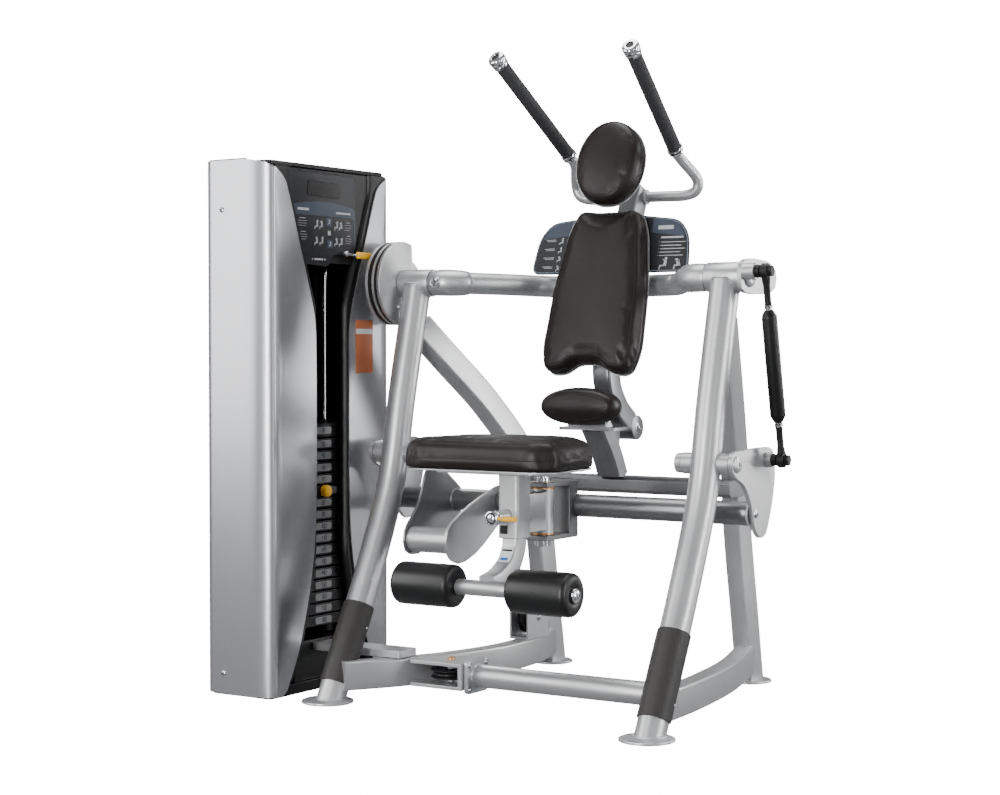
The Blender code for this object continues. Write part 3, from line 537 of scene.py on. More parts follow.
def inflate(data, held, cap):
    """Swell a closed pad by cloth simulation under pressure, keeping the held points still."""
    made = in_scene("pad_cloth", data)
    remesh = made.modifiers.new("remesh", "REMESH")
    remesh.mode, remesh.voxel_size = "VOXEL", VOXEL
    bpy.context.view_layer.update()
    data = bpy.data.meshes.new_from_object(made.evaluated_get(bpy.context.evaluated_depsgraph_get()))
    made.modifiers.clear()
    made.data = data
    rest = [v.co.copy() for v in data.vertices]
    group = made.vertex_groups.new(name="held")
    group.add([i for i, co in enumerate(rest) if held(co)], 1.0, "REPLACE")
    cloth = made.modifiers.new("cloth", "CLOTH")
    cloth.settings.quality = 6
    cloth.settings.mass = 0.35
    cloth.settings.tension_stiffness = cloth.settings.compression_stiffness = 22.0
    cloth.settings.shear_stiffness = 12.0
    cloth.settings.bending_stiffness = 1.5
    cloth.settings.use_pressure = True
    cloth.settings.uniform_pressure_force = PRESSURE
    cloth.settings.effector_weights.gravity = 0.0
    cloth.settings.vertex_group_mass = "held"
    cloth.collision_settings.use_collision = False
    cloth.point_cache.frame_start, cloth.point_cache.frame_end = 1, LAST_FRAME
    scene = bpy.context.scene
    for frame_number in range(1, LAST_FRAME + 1):
        scene.frame_set(frame_number)
    final = bpy.data.meshes.new_from_object(made.evaluated_get(bpy.context.evaluated_depsgraph_get()))
    moved = [v.co.copy() for v in final.vertices]
    made.modifiers.clear()
    scene.frame_set(1)
    for vertex, start, end in zip(data.vertices, rest, moved):
        move = end - start
        if move.length > cap:
            move = move.normalized() * cap
        vertex.co = start + move
    smooth = made.modifiers.new("smooth", "SMOOTH")
    smooth.factor, smooth.iterations = 0.5, 4
    finer = made.modifiers.new("finer", "SUBSURF")
    finer.levels = finer.render_levels = 1
    bpy.context.view_layer.update()
    swollen = bpy.data.meshes.new_from_object(made.evaluated_get(bpy.context.evaluated_depsgraph_get()))
    bpy.data.objects.remove(made)
    return swollen


def cushion(name, outline, thick, crown, roll, where, body, node_name):
    """An upholstered pad: crowned face, rolled edge, boxed side with a seam, and a flat back.

    where maps (a, b, depth) to the machine's axes, with depth 0 at the front and thick at the back.
    """
    count = 150
    rim = resample(outline, count)
    middle = sum(rim, Vector((0, 0))) / count
    normals = []
    for i in range(count):
        run = (rim[(i + 3) % count] - rim[i - 3]).normalized()
        normals.append(Vector((-run.y, run.x)))
    if sum((middle - p).dot(n) for p, n in zip(rim, normals)) < 0:
        normals = [-n for n in normals]
    front = 0.35 * crown
    profile = [(0.016, thick), (0.006, thick - 0.0004), (0.0025, thick - 0.0028),
               (0.0010, thick - 0.007), (0.0, thick * 0.75), (0.0, thick * 0.60)]
    start = max(front + roll, 0.0)
    profile.append((0.0004, min(start + 0.004, thick * 0.55)))
    for k in range(0, 9):
        turn = math.pi / 2 * k / 8
        profile.append((roll * (1 - math.cos(turn)) + 0.0006, start - (start - front) * math.sin(turn)))
    rings = []
    for inset, depth in profile:
        rings.append([(*(p + n * inset), depth) for p, n in zip(rim, normals)])
    inner = [p + n * (roll + 0.0006) for p, n in zip(rim, normals)]
    steps = 16
    for k in range(1, steps + 1):
        scale = 1.0 - 0.97 * k / steps
        ring = []
        for p in inner:
            spot = middle + (p - middle) * scale
            ring.append((spot.x, spot.y, front * scale ** 2.2))
        rings.append(ring)

    data = bpy.data.meshes.new(f"{name}_core")
    mesh = loft_mesh([[where(*p) for p in ring] for ring in rings])
    bmesh.ops.recalc_face_normals(mesh, faces=mesh.faces)
    mesh.to_mesh(data)
    mesh.free()
    back, ahead = Vector(where(0, 0, thick)), Vector(where(0, 0, 0))
    way = (ahead - back).normalized()
    data = inflate(data, lambda co: (co - back).dot(way) < HELD_DEPTH, SWELL_CAP)
    mesh = bmesh.new()
    mesh.from_mesh(data)
    tree = BVHTree.FromBMesh(mesh)
    made = piece(name, mesh, "vinyl", body, (node_name,), sharp=75)

    def on_skin(p, inset, depth, normal):
        spot = p + normal * inset
        here = Vector(where(spot.x, spot.y, depth))
        hit = tree.find_nearest(here)
        return hit[0], hit[1]
    for tag, inset, depth, inwards, deeper in (("face", roll * 0.62, front + 0.0005, 0.0042, 0.0),
                                               ("side", 0.0, thick * 0.64, 0.0, -0.0042)):
        seam = [on_skin(p, inset, depth, n) for p, n in zip(rim, normals)]
        groove(f"{name}_{tag}_seam", seam, body)
        row = [on_skin(p, inset + inwards, depth + deeper, n) for p, n in zip(rim, normals)]
        stitches(f"{name}_{tag}_stitch", row, body)
    return made


def groove(name, line, body, radius=0.0011):
    """The welt of a seam: a fine cord half sunk in the pad's skin."""
    count = len(line)
    spots = [spot for spot, _ in line]
    spots = [(spots[i - 1] + spots[i] * 2 + spots[(i + 1) % count]) / 4 for i in range(count)]
    rings = []
    for i in range(count):
        ahead = (spots[(i + 1) % count] - spots[i - 1]).normalized()
        out = (line[i][1] - ahead * line[i][1].dot(ahead)).normalized()
        other = ahead.cross(out)
        rings.append([spots[i] - out * radius * 0.25 + (out * math.cos(t) + other * math.sin(t)) * radius
                      for t in turns(8)])
    piece(name, loft_mesh(rings, closed=True), "vinyl", body)


def stitches(name, line, body, step=0.0052, size=0.00042):
    """A row of short thread stitches lying on the pad's skin."""
    count = len(line)
    mesh = bmesh.new()
    run = 0.0
    for i in range(count):
        (a, na), (b, nb) = line[i], line[(i + 1) % count]
        length = (b - a).length
        if length < 1e-6:
            continue
        while run < length:
            start = a.lerp(b, run / length)
            ahead = (b - a).normalized()
            out = na.lerp(nb, run / length).normalized()
            other = ahead.cross(out).normalized()
            rings = []
            for along, thick in ((0.0, 0.4), (0.0009, 1.0), (0.0024, 1.0), (0.0033, 0.4)):
                centre = start + ahead * along + out * size * 0.4
                rings.append([centre + (out * math.cos(t) + other * math.sin(t)) * size * thick
                              for t in turns(6)])
            loft_mesh(rings, mesh=mesh)
            run += step
        run -= length
    piece(name, mesh, "thread", body)


def back_board(name, outline, grow, low, high, where, body, count=120):
    """The painted board a pad is screwed to, showing just past the pad's own edge."""
    rim = resample(outline, count)
    middle = sum(rim, Vector((0, 0))) / count
    ring = []
    for i in range(count):
        run = (rim[(i + 2) % count] - rim[i - 2]).normalized()
        out = Vector((run.y, -run.x))
        if (rim[i] - middle).dot(out) < 0 and (rim[i] - middle).length > 0.07:
            out = -out
        ring.append(rim[i] + out * grow)
    piece(name, loft_mesh([[where(p.x, p.y, depth) for p in ring] for depth in (low, high)]), "silver",
          body, bevel=0.001)


def ellipse(half_a, half_b, centre, power=2.0, count=200):
    """A superellipse outline."""
    out = []
    for angle in turns(count):
        c, s = math.cos(angle), math.sin(angle)
        out.append((centre[0] + half_a * math.copysign(abs(c) ** (2 / power), c),
                    centre[1] + half_b * math.copysign(abs(s) ** (2 / power), s)))
    return out


def on_back(x, up, depth):
    """A point on the leaning backrest, from its face backwards."""
    return Vector((x, PAD_BASE[0] + up * math.sin(LEAN) + depth * math.cos(LEAN),
                   PAD_BASE[1] + up * math.cos(LEAN) - depth * math.sin(LEAN)))


# ---- the fixed frame -----------------------------------------------------------------
def leg_path(side):
    """Centre line of a bowed front leg."""
    profile = [(0.035, 0.004), (0.118, 0.160), (0.205, 0.325), (0.306, 0.555), (0.359, 0.793),
               (0.433, 1.090)]
    return [(side * LEG_X, y, z) for y, z in profile]


def rear_path(side):
    """Centre line of a rear leg, from its foot to the upper hub."""
    profile = [(*REAR_FOOT, 0.004), (0.318, 0.868, 0.200), (0.318, 0.825, 0.420),
               (0.335, 0.770, 0.600), (0.380, 0.650, 0.760), (0.430, 0.520, 0.890),
               (0.464, 0.432, 0.978)]
    return [(side * x, y, z) for x, y, z in profile]


def rail_path(side):
    """Centre line of a floor rail."""
    if side < 0:
        return [(-0.445, 0.050, RAIL_Z), (-0.375, 0.160, RAIL_Z), (-0.300, 0.310, RAIL_Z),
                (-0.255, 0.500, RAIL_Z), (-0.262, 0.700, RAIL_Z), (-0.312, 0.870, RAIL_Z)]
    return [(0.462, 0.090, RAIL_Z), (0.448, 0.300, RAIL_Z), (0.405, 0.580, RAIL_Z),
            (0.322, 0.870, RAIL_Z)]


def near_axis(centre, radius):
    """Test for a point inside an endless cylinder along X."""
    def test(p):
        return (p.y - centre[0]) ** 2 + (p.z - centre[1]) ** 2 < radius ** 2
    return test


def near_tube(path, radius):
    """Test for a point inside a tube along a path."""
    path = [Vector(p) for p in path]

    def test(p):
        return min((p - q).length_squared for q in path) < radius ** 2
    return test


def foot(label, centre, radius, tag):
    """A turned floor disc."""
    outer = [(0.0, 0.0), (0.0, radius - 0.003), (0.0012, radius - 0.0005), (0.0045, radius),
             (0.0070, radius - 0.0012), (0.0082, radius - 0.004), (0.0082, radius - 0.012),
             (0.0094, radius - 0.016), (FOOT_DISC_TOP, 0.020), (FOOT_DISC_TOP, 0.0)]
    turned(f"{label}_{tag}_disc", "z", centre, outer, "silver", "frame", count=64)


def grounded(path, section, side=(1, 0, 0)):
    """A leg's rings, the lowest cut level inside its foot disc."""
    rings = sweep_rings(path, section, side)
    run = (Vector(path[1]) - Vector(path[0])).normalized()
    level = [p - run * ((p.z - FOOT_CUT) / run.z) for p in rings[0]]
    return [level] + rings[2:]


def build_side(label, side):
    """One side of the frame: both legs, the rail, the hubs and their welds."""
    path = smooth_path(leg_path(side))
    piece(f"{label}_leg_tube", loft_mesh(grounded(path, circle(LEG_R))), "silver", "frame",
          (f"{label}_leg",))
    hub = [(0.420, 0.0205), (0.420, 0.0355), (0.4208, 0.0372), (0.4225, HUB_R), (0.5175, HUB_R),
           (0.5192, 0.0372), (0.520, 0.0355), (0.520, 0.0205), (0.420, 0.0205)]
    turned(f"{label}_upper_hub", "x", UPPER, mirrored(side, hub), "silver", "frame", count=64)
    low_hub = [(0.405, 0.0130), (0.405, 0.0250), (0.4065, 0.0270), (0.5345, 0.0270), (0.5360, 0.0250),
               (0.5360, 0.0130), (0.405, 0.0130)]
    turned(f"{label}_lower_hub", "x", LOWER, mirrored(side, low_hub), "silver", "frame", count=56)
    foot(label, (side * LEG_X, 0.022), 0.068, "front_foot")
    foot(label, (side * REAR_FOOT[0], REAR_FOOT[1]), 0.060, "rear_foot")
    weld(f"{label}_leg_top_weld", path, LEG_R, near_axis(UPPER, HUB_R), "frame")
    below = path[0] - (path[1] - path[0]).normalized() * 0.030
    weld(f"{label}_leg_foot_weld", path[::-1] + [below], LEG_R, lambda p: p.z < FOOT_DISC_TOP, "frame")
    for tag, low, high in (("in", 0.40, LEG_X), ("out", 0.54, LEG_X)):
        line = [(side * (low + (high - low) * k / 40), *LOWER) for k in range(41)]
        weld(f"{label}_pivot_weld_{tag}", line, 0.0270, near_tube(path, LEG_R), "frame",
             side=(0, 1, 0), bead=0.0022)

    rear = smooth_path(rear_path(side), 8)
    mesh = loft_mesh(grounded(rear, rectangle(0.050, 0.080, 0.0065)))
    piece(f"{label}_rear_leg_tube", mesh, "silver", "frame", (f"{label}_rear_leg",))
    rail = smooth_path(rail_path(side), 8)
    mesh = loft_mesh(sweep_rings(rail, rectangle(RAIL_H, RAIL_W, 0.0065), side=(0, 0, 1)))
    piece(f"{label}_rail_tube", mesh, "silver", "frame", (f"{label}_rail",))


def build_guard(label, side):
    """The moulded shin guard: an open sleeve clipped round the leg and screwed at its edges."""
    path = smooth_path(leg_path(side), 12)
    low, high = 3, 19
    part = path[low:high]
    arc, inner, outer = math.radians(118), LEG_R + 0.0006, LEG_R + 0.0038
    section = []
    steps = 30
    for k in range(steps + 1):
        angle = -arc + 2 * arc * k / steps
        section.append((outer * math.sin(angle), -outer * math.cos(angle)))
    for k in range(steps, -1, -1):
        angle = -arc + 2 * arc * k / steps
        section.append((inner * math.sin(angle), -inner * math.cos(angle)))
    rings = sweep_rings(part, section)
    piece(f"{label}_guard_shell", loft_mesh(rings), "guard", "frame", (f"{label}_shin_guard",),
          bevel=0.0007)
    for at in (3, len(part) - 5):
        here = part[at]
        ahead = (part[at + 1] - part[at - 1]).normalized()
        back = ahead.cross(Vector((1, 0, 0)))
        back = back if back.y > 0 else -back
        for tag, way in WAYS:
            angle = math.radians(100)
            out = Vector((way * math.sin(angle), 0, 0)) - back * math.cos(angle)
            out.normalize()
            stud(f"{label}_guard_screw_{at}_{tag}", here + out * (LEG_R + 0.0034), out, 0.0036, "steel",
                 "frame")


def stud(name, at, out, size, look, body):
    """A small domed screw head facing out."""
    turn = Vector(out).to_track_quat("Z", "Y").to_matrix().to_4x4()
    mesh = bmesh.new()
    rings = []
    for up, radius in ((0.0, size), (size * 0.35, size * 0.92), (size * 0.6, size * 0.55)):
        rings.append([turn @ Vector((radius * math.cos(t), radius * math.sin(t), up)) + Vector(at)
                      for t in turns(16)])
    piece(name, loft_mesh(rings, mesh=mesh), look, body)


def build_frame():
    """The fixed frame."""
    for label, side in SIDES:
        build_side(label, side)
        build_guard(label, side)
    refine("rear_cross_beam", "grey", "frame", 0.004)
    rod("front_cross_bar", "x", (0.240, RAIL_Z), 0.030, -0.1510, 0.436, "silver", "frame",
        ("front_cross_tube",), edge=0.0005, count=64)
    plate("cross_flange", "x", rounded([(0.190, 0.024), (0.290, 0.024), (0.290, 0.112), (0.190, 0.112)],
                                       0.014), -0.157, -0.145, "silver", "frame")
    line = [(0.1 - k * 0.01, 0.240, RAIL_Z) for k in range(40)]
    weld("cross_flange_weld", line, 0.030, lambda p: p.x < -0.145, "frame", side=(0, 1, 0))
    for i, (y, z) in enumerate(((0.201, 0.036), (0.279, 0.036), (0.201, 0.100), (0.279, 0.100))):
        bolt(f"cross_flange_bolt_{i}", "x", (y, z), -0.145, 1, 0.0062, "steel", "frame")
    refine("lumbar_post", "grey", "frame", 0.004)
    cushion("lumbar_cushion", ellipse(0.116, 0.050, (0.0, 0.765), 2.2), 0.0695, 0.022, 0.022,
            lambda a, b, depth: (a, 0.481 + depth, b), "frame", "lumbar_pad")
    for tag, x in (("a", -0.035), ("b", 0.035)):
        bolt(f"lumbar_bolt_{tag}", "y", (x, 0.757), 0.559, 1, 0.006, "steel", "frame")
    rod("stop_bumper", "y", (0.0, 0.690), 0.012, 0.7035, 0.7105, "rubber", "frame", edge=0.002)
    build_pulleys()


def build_pulleys():
    """The two low pulleys in their brackets, and the one at the top of the tower."""
    refine("base_pulley_bracket", "silver", "frame", 0.002)
    for tag, z, way in (("top", 0.104, 1), ("low", 0.034, -1)):
        bolt(f"base_pulley_bolt_{tag}", "z", BASE_PULLEY, z, way, 0.0095, "bronze", "frame")
    refine("rear_pulley_guard", "silver", "frame", 0.002)
    bolt("rear_pulley_bolt", "x", REAR_PULLEY, -0.228, 1, 0.008, "steel", "frame")
    for name, axis, centre, radius, low, high in (
            ("base_pulley", "z", BASE_PULLEY, 0.054, 0.057, 0.081),
            ("rear_pulley", "x", REAR_PULLEY, 0.047, -0.271, -0.247),
            ("top_pulley", "y", TOP_PULLEY, 0.051, 0.208, 0.232)):
        middle = (low + high) / 2
        half = (high - low) / 2
        profile = [(-half, 0.0068), (-half, 0.016), (-half + 0.003, 0.018), (-half + 0.003, radius - 0.013),
                   (-half, radius - 0.010), (-half, radius - 0.0012), (-half + 0.0012, radius),
                   (-0.0078, radius), (-0.0066, radius - 0.001), (-0.0050, radius - 0.0055),
                   (-0.0028, radius - 0.0078), (0.0, radius - 0.0085)]
        profile += [(-a, r) for a, r in reversed(profile[:-1])]
        profile.append(profile[0])
        turned(f"{name}_wheel", axis, centre, [(middle + a, r) for a, r in profile], "plastic", name,
               (name,), count=72)
        proud = half + 0.0008
        collar(f"{name}_bearing", axis, centre, 0.0068, 0.0135, middle - proud, middle + proud, "steel", name,
               count=40)


# ---- the weight tower ------------------------------------------------------------------
def shroud_edge(z):
    """How far the front shroud reaches in from its corner at a given height."""
    table = [(0.006, 0.000), (0.020, 0.019), (0.145, 0.079), (0.354, 0.132), (0.540, 0.146),
             (0.900, 0.146), (0.985, 0.143), (1.036, 0.132), (1.220, 0.069), (1.352, 0.022),
             (1.372, 0.006), (1.390, -0.020), (1.404, -0.052), (1.411, -0.082), (TOWER_H, -0.110)]
    for i, ((z0, e0), (z1, e1)) in enumerate(zip(table, table[1:])):
        if z <= z1:
            before = table[max(i - 1, 0)]
            after = table[min(i + 2, len(table) - 1)]
            m0 = (e1 - before[1]) / max(1e-6, z1 - before[0])
            m1 = (after[1] - e0) / max(1e-6, after[0] - z0)
            run = z1 - z0
            t = (z - z0) / run
            return ((2 * t ** 3 - 3 * t * t + 1) * e0 + (t ** 3 - 2 * t * t + t) * run * m0
                    + (3 * t * t - 2 * t ** 3) * e1 + (t ** 3 - t * t) * run * m1)
    return table[-1][1]


def shroud_section(reach, inset, side_steps=6):
    """Plan of the front shroud's bent sheet, from its back edge to its free lip.

    The lip lies at y = reach on the side face; a reach below the corner runs back round the corner.
    """
    back, face = TOWER_BACK + inset, TOWER_FACE - inset
    front = TOWER_Y - TOWER_HALF + inset
    corner, bend, rise, swell = 0.052, 0.030, 0.034, 0.004
    points = [Vector((back, 0.0)), Vector((back, front + rise))]
    for k in range(1, 10):
        turn = math.pi / 2 * k / 10
        points.append(Vector((back + bend * (1 - math.cos(turn)), front + rise - bend * math.sin(turn))))
    start = face - corner * 1.5
    for k in range(0, 11):
        t = k / 10
        points.append(Vector((back + bend + (start - back - bend) * t,
                              front + swell - swell * math.sin(math.pi / 2 * t))))
    for k in range(1, 15):
        turn = math.pi / 2 * k / 14
        points.append(Vector((face - corner * 1.5 * (1 - math.sin(turn)),
                              front + 0.50 * corner * (1 - math.cos(turn)))))
    end = points[-1].y
    if reach > end:
        points.append(Vector((face, reach)))
        cut_back = 0.0
    else:
        cut_back = end - reach
    lengths = [(q - p).length for p, q in zip(points, points[1:])]
    same = 34                      # stretches that every height has, up to the corner's last
    fixed = sum(lengths[:same])
    total = sum(lengths) - cut_back
    marks = [sum(lengths[:k]) for k in range(same + 1)]
    marks += [fixed + (max(total, fixed) - fixed) * k / side_steps for k in range(1, side_steps + 1)]
    out = []
    for k, mark in enumerate(marks):
        target = min(mark, total - 0.0002 * (len(marks) - 1 - k))
        i, run = 0, 0.0
        while i < len(lengths) - 1 and run + lengths[i] < target:
            run += lengths[i]
            i += 1
        spot = points[i].lerp(points[i + 1], min(1.0, (target - run) / lengths[i]))
        out.append((spot.x, spot.y))
    return out


def on_side(ring, mirror):
    """A ring of the tower's front half, or its mirror image in the rear half."""
    return [(x, 2 * TOWER_Y - y, z) for x, y, z in ring] if mirror else ring


def shroud_ring(z, outer, inner, mirror, trim=0.0):
    """One level ring of a shroud between two depths in its sheet."""
    edge = shroud_edge(min(z, TOWER_H)) + trim
    ring = [(x, y, z) for x, y in shroud_section(edge, outer)]
    ring += [(x, y, z) for x, y in reversed(shroud_section(edge, inner))]
    return on_side(ring, mirror)


def build_shroud(label, mirror):
    """One bent metal cover of the tower with its dark lining and screws."""
    heights = [0.006 + 0.004 * k for k in range(6)] + [0.04 + k * 0.02 for k in range(65)]
    heights += [1.3450 + 0.005 * k for k in range(12)] + [1.404, 1.408, 1.4115, TOWER_H]
    piece(f"{label}_shroud_sheet", loft_mesh([shroud_ring(z, 0.0, 0.0025, mirror) for z in heights]),
          "shroud", "frame", (f"{label}_shroud",), sharp=60)
    lining = [z for z in heights if z > 0.02] + [TOWER_H + 0.0035]
    piece(f"{label}_shroud_lining",
          loft_mesh([shroud_ring(z, 0.0027, 0.0075, mirror, 0.0035) for z in lining]),
          "plastic", "frame", sharp=60)
    face, way = (TOWER_Y - TOWER_HALF, -1) if not mirror else (TOWER_Y + TOWER_HALF, 1)
    for tag, z in (("top", 1.285), ("low", 0.060)):
        stud(f"{label}_shroud_screw_{tag}", (-0.762, face - way * 0.0028, z), (0, way, 0), 0.0075,
             "steel", "frame")
        # A dark hexagon on each screw head is painted shade in place of the screw's socket recess.
        rod(f"{label}_shroud_socket_{tag}", "y", (-0.762, z), 0.0030, face + way * 0.0012,
            face + way * 0.0022, "rubber", "frame", edge=0.0003, count=6)
    if mirror:
        shape = rounded([(0.322, 0.852), (0.402, 0.852), (0.402, 0.998), (0.322, 0.998)], 0.004)
        plate("blank_sticker", "x", shape, -0.6002, -0.5997, "orange", "frame", bevel=0.0)
        plate("blank_sticker_band", "x", rounded([(0.324, 0.960), (0.400, 0.960), (0.400, 0.974),
                                                  (0.324, 0.974)], 0.001), -0.5998, -0.5995, "white",
              "frame", bevel=0.0)


def fluted(name, axis, across, up, face, look="plastic"):
    """A ribbed moulded panel: ribs run upright and stand out from a flat back."""
    low, high = across
    count = int((high - low) / 0.011)
    outline = []
    sign = 1 if face[1] > face[0] else -1
    for k in range(count):
        a = low + (high - low) * k / count
        step = (high - low) / count
        for part, out in ((0.00, 0.35), (0.14, 0.86), (0.28, 1.0), (0.58, 1.0), (0.72, 0.86), (0.86, 0.35)):
            outline.append((a + step * part, face[0] + (face[1] - face[0]) * out))
    outline += [(high, face[0] - sign * 0.002), (low, face[0] - sign * 0.002)]
    if axis == "x":
        outline = [(b, a) for a, b in outline]
    plate(name, "z", outline, up[0], up[1], look, "frame", bevel=0.0)


def lip_panel(label, mirror):
    """The dark side of the inner housing that shows along the shroud's cut edge."""
    heights = [0.040 + 0.02 * k for k in range(68)] + [1.3995]
    rings = []
    for z in heights:
        edge = max(0.002, min(0.150, shroud_edge(min(z, 1.35)) + 0.016))
        ring = [(-0.6050, -0.020, z), (-0.6050, edge, z), (-0.6120, edge + 0.005, z),
                (-0.6300, edge + 0.006, z), (-0.6300, edge + 0.003, z), (-0.6110, edge + 0.001, z),
                (-0.6110, -0.020, z)]
        rings.append(on_side(ring, mirror))
    piece(f"{label}_inner_lip", loft_mesh(rings), "plastic", "frame", sharp=35)


DIGITS = {"0": "abcdef", "1": "bc", "2": "abged", "3": "abgcd", "4": "fgbc", "5": "afgcd", "6": "afgedc",
          "7": "abc", "8": "abcdefg", "9": "abcdfg"}


def number(mesh, text, centre, height, lift, where):
    """Plain stroke digits as thin raised bars; where maps (across, up, out) to the machine's axes."""
    wide, gap, line = height * 0.52, height * 0.26, height * 0.13
    strokes = {"a": (0, 1, 1, 1), "b": (1, 0.5, 1, 1), "c": (1, 0, 1, 0.5), "d": (0, 0, 1, 0),
               "e": (0, 0, 0, 0.5), "f": (0, 0.5, 0, 1), "g": (0, 0.5, 1, 0.5)}
    total = len(text) * wide + (len(text) - 1) * gap
    for i, digit in enumerate(text):
        left = centre[0] - total / 2 + i * (wide + gap)
        for key in DIGITS[digit]:
            x0, y0, x1, y1 = strokes[key]
            bar(mesh, (left + x0 * wide - line / 2, left + x1 * wide + line / 2),
                (centre[1] + (y0 - 0.5) * height - line / 2, centre[1] + (y1 - 0.5) * height + line / 2),
                lift, where)


def bar(mesh, across, up, lift, where):
    """One thin raised rectangle."""
    loft_mesh([[where(a, b, out) for a, b in ((across[0], up[0]), (across[1], up[0]),
                                              (across[1], up[1]), (across[0], up[1]))]
               for out in (0.0, lift)], mesh=mesh)


def weight_tag(tags, digits, text, low, high, z):
    """One rounded tag and its number, standing on the plates' front face."""
    shape = rounded([(low, z - 0.0095), (high, z - 0.0095), (high, z + 0.0095), (low, z + 0.0095)], 0.007)
    loft_mesh([[(x, a, b) for a, b in shape] for x in (PLATE_FACE - 0.001, PLATE_FACE + 0.0012)],
              mesh=tags)
    number(digits, text, ((low + high) / 2, z), 0.0105, 0.0004,
           lambda a, b, out: (PLATE_FACE + 0.0011 + out, a, b))


def stack_plates(label, count, first, body):
    """A run of weight plates with their tags, and dark discs of painted shade where their pin holes are."""
    front, rear = TOWER_Y - PLATE_HALF, TOWER_Y + PLATE_HALF
    outline = rounded([(PLATE_BACK, front), (PLATE_FACE, front), (PLATE_FACE, rear), (PLATE_BACK, rear)],
                      0.010)
    for i in range(count):
        z = STACK_Z + (first + i) * PITCH
        replaced = (f"{label}_plates",) if i == 0 else ()
        plate(f"{label}_plate_{i}", "z", outline, z, z + PITCH - 0.0032, "iron", body, replaced, 0.0022)
    tags, digits = bmesh.new(), bmesh.new()
    for i in range(count):
        step = first + i
        number_of = FIXED_PLATES + LIFTED_PLATES + 1 - step
        z = STACK_Z + (step + 0.5) * PITCH - 0.0016
        low, high = (0.012, 0.060) if step == FIXED_PLATES else (-0.036, 0.036)
        weight_tag(tags, digits, str(10 * (number_of + 1)), TOWER_Y + low, TOWER_Y + high, z)
        if step == FIXED_PLATES:
            continue
        # The pin holes are not cut: a dark disc of painted shade stands on the plate's face where each hole
        # is.
        for tag, way in WAYS:
            rod(f"{label}_plate_hole_{i}_{tag}", "x", (TOWER_Y + way * 0.046, z), 0.0045,
                PLATE_FACE - 0.001, PLATE_FACE + 0.0006, "rubber", body, edge=0.0004, count=16)
    piece(f"{label}_weight_tags", tags, "tag", body)
    piece(f"{label}_weight_numbers", digits, "iron", body)


def figure(mesh, centre, size, where, lift, lean):
    """A tiny generic seated figure drawn with dots and bars for a placard."""
    a, b = centre

    def stroke(p, q, wide):
        run = Vector((q[0] - p[0], q[1] - p[1]))
        off = Vector((-run.y, run.x)).normalized() * wide * size / 2
        corners = [(a + p[0] * size + off.x, b + p[1] * size + off.y),
                   (a + p[0] * size - off.x, b + p[1] * size - off.y),
                   (a + q[0] * size - off.x, b + q[1] * size - off.y),
                   (a + q[0] * size + off.x, b + q[1] * size + off.y)]
        loft_mesh([[where(x, y, out) for x, y in corners] for out in (0.0, lift)], mesh=mesh)
    head = (0.10 - lean * 0.35, 0.86 - abs(lean) * 0.12)
    ring = [(a + size * (head[0] + x), b + size * (head[1] + y)) for x, y in circle(0.11, 14)]
    loft_mesh([[where(x, y, out) for x, y in ring] for out in (0.0, lift)], mesh=mesh)
    shoulder = (0.06 - lean * 0.26, 0.68 - abs(lean) * 0.08)
    stroke((0.0, 0.30), shoulder, 0.15)
    stroke((0.0, 0.30), (-0.34, 0.30), 0.11)
    stroke((-0.34, 0.32), (-0.38, 0.02), 0.09)
    stroke(shoulder, (-0.16 - lean * 0.2, 0.80), 0.07)
    stroke((0.14, 0.22), (0.16 - lean * 0.2, 0.74), 0.05)


def build_tower():
    """The housing, the stack inside it, and the placard and lever on its front."""
    refine("tower_base", "plastic", "frame", 0.003)
    refine("tower_back_cover", "plastic", "frame", 0.0012)
    refine("tower_head", "plastic", "frame", 0.002)
    for label, mirror in SHROUDS:
        build_shroud(label, mirror)
    fluted("rear_liner", "y", (-0.818, -0.616), (0.034, 1.398), (0.462, 0.454))
    fluted("back_liner", "x", (0.004, 0.436), (0.034, 1.398), (-0.8215, -0.814))
    slab("head_hood", (-0.640, -0.6145), (-0.004, 0.405), (1.150, 1.3995), "plastic", "frame")
    for label, mirror in SHROUDS:
        lip_panel(label, mirror)
    build_guides()
    refine("tower_link", "silver", "frame", 0.002)
    stack_plates("fixed", FIXED_PLATES, 0, "frame")
    stack_plates("lifted", LIFTED_PLATES, FIXED_PLATES, "lifted_stack")
    build_stack_head()
    build_selector()
    build_add_on_lever()
    build_tower_placard()


def build_guides():
    """The stack's two guide rods, and the cable that lifts it."""
    for label, sign in (("front", -1), ("rear", 1)):
        rod(f"{label}_guide_bar", "z", (STACK_X, TOWER_Y + sign * GUIDE_OFFSET), 0.0095, STACK_Z, 1.400,
            "chrome", "frame", (f"{label}_guide_rod",), edge=0.0005)
        turned(f"{label}_guide_foot", "z", (STACK_X, TOWER_Y + sign * GUIDE_OFFSET),
               [(0.134, 0.0), (0.134, 0.024), (0.150, 0.0255), (0.1640, 0.023), (0.1655, 0.018),
                (0.1655, 0.0)], "rubber", "frame")
    low, high = CABLE_SPAN
    cable = rod("lift_wire", "z", (STACK_X, TOWER_Y), 0.0030, low, high, "rubber", "frame",
                ("lift_cable",), edge=0.0003, count=20)
    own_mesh(cable)


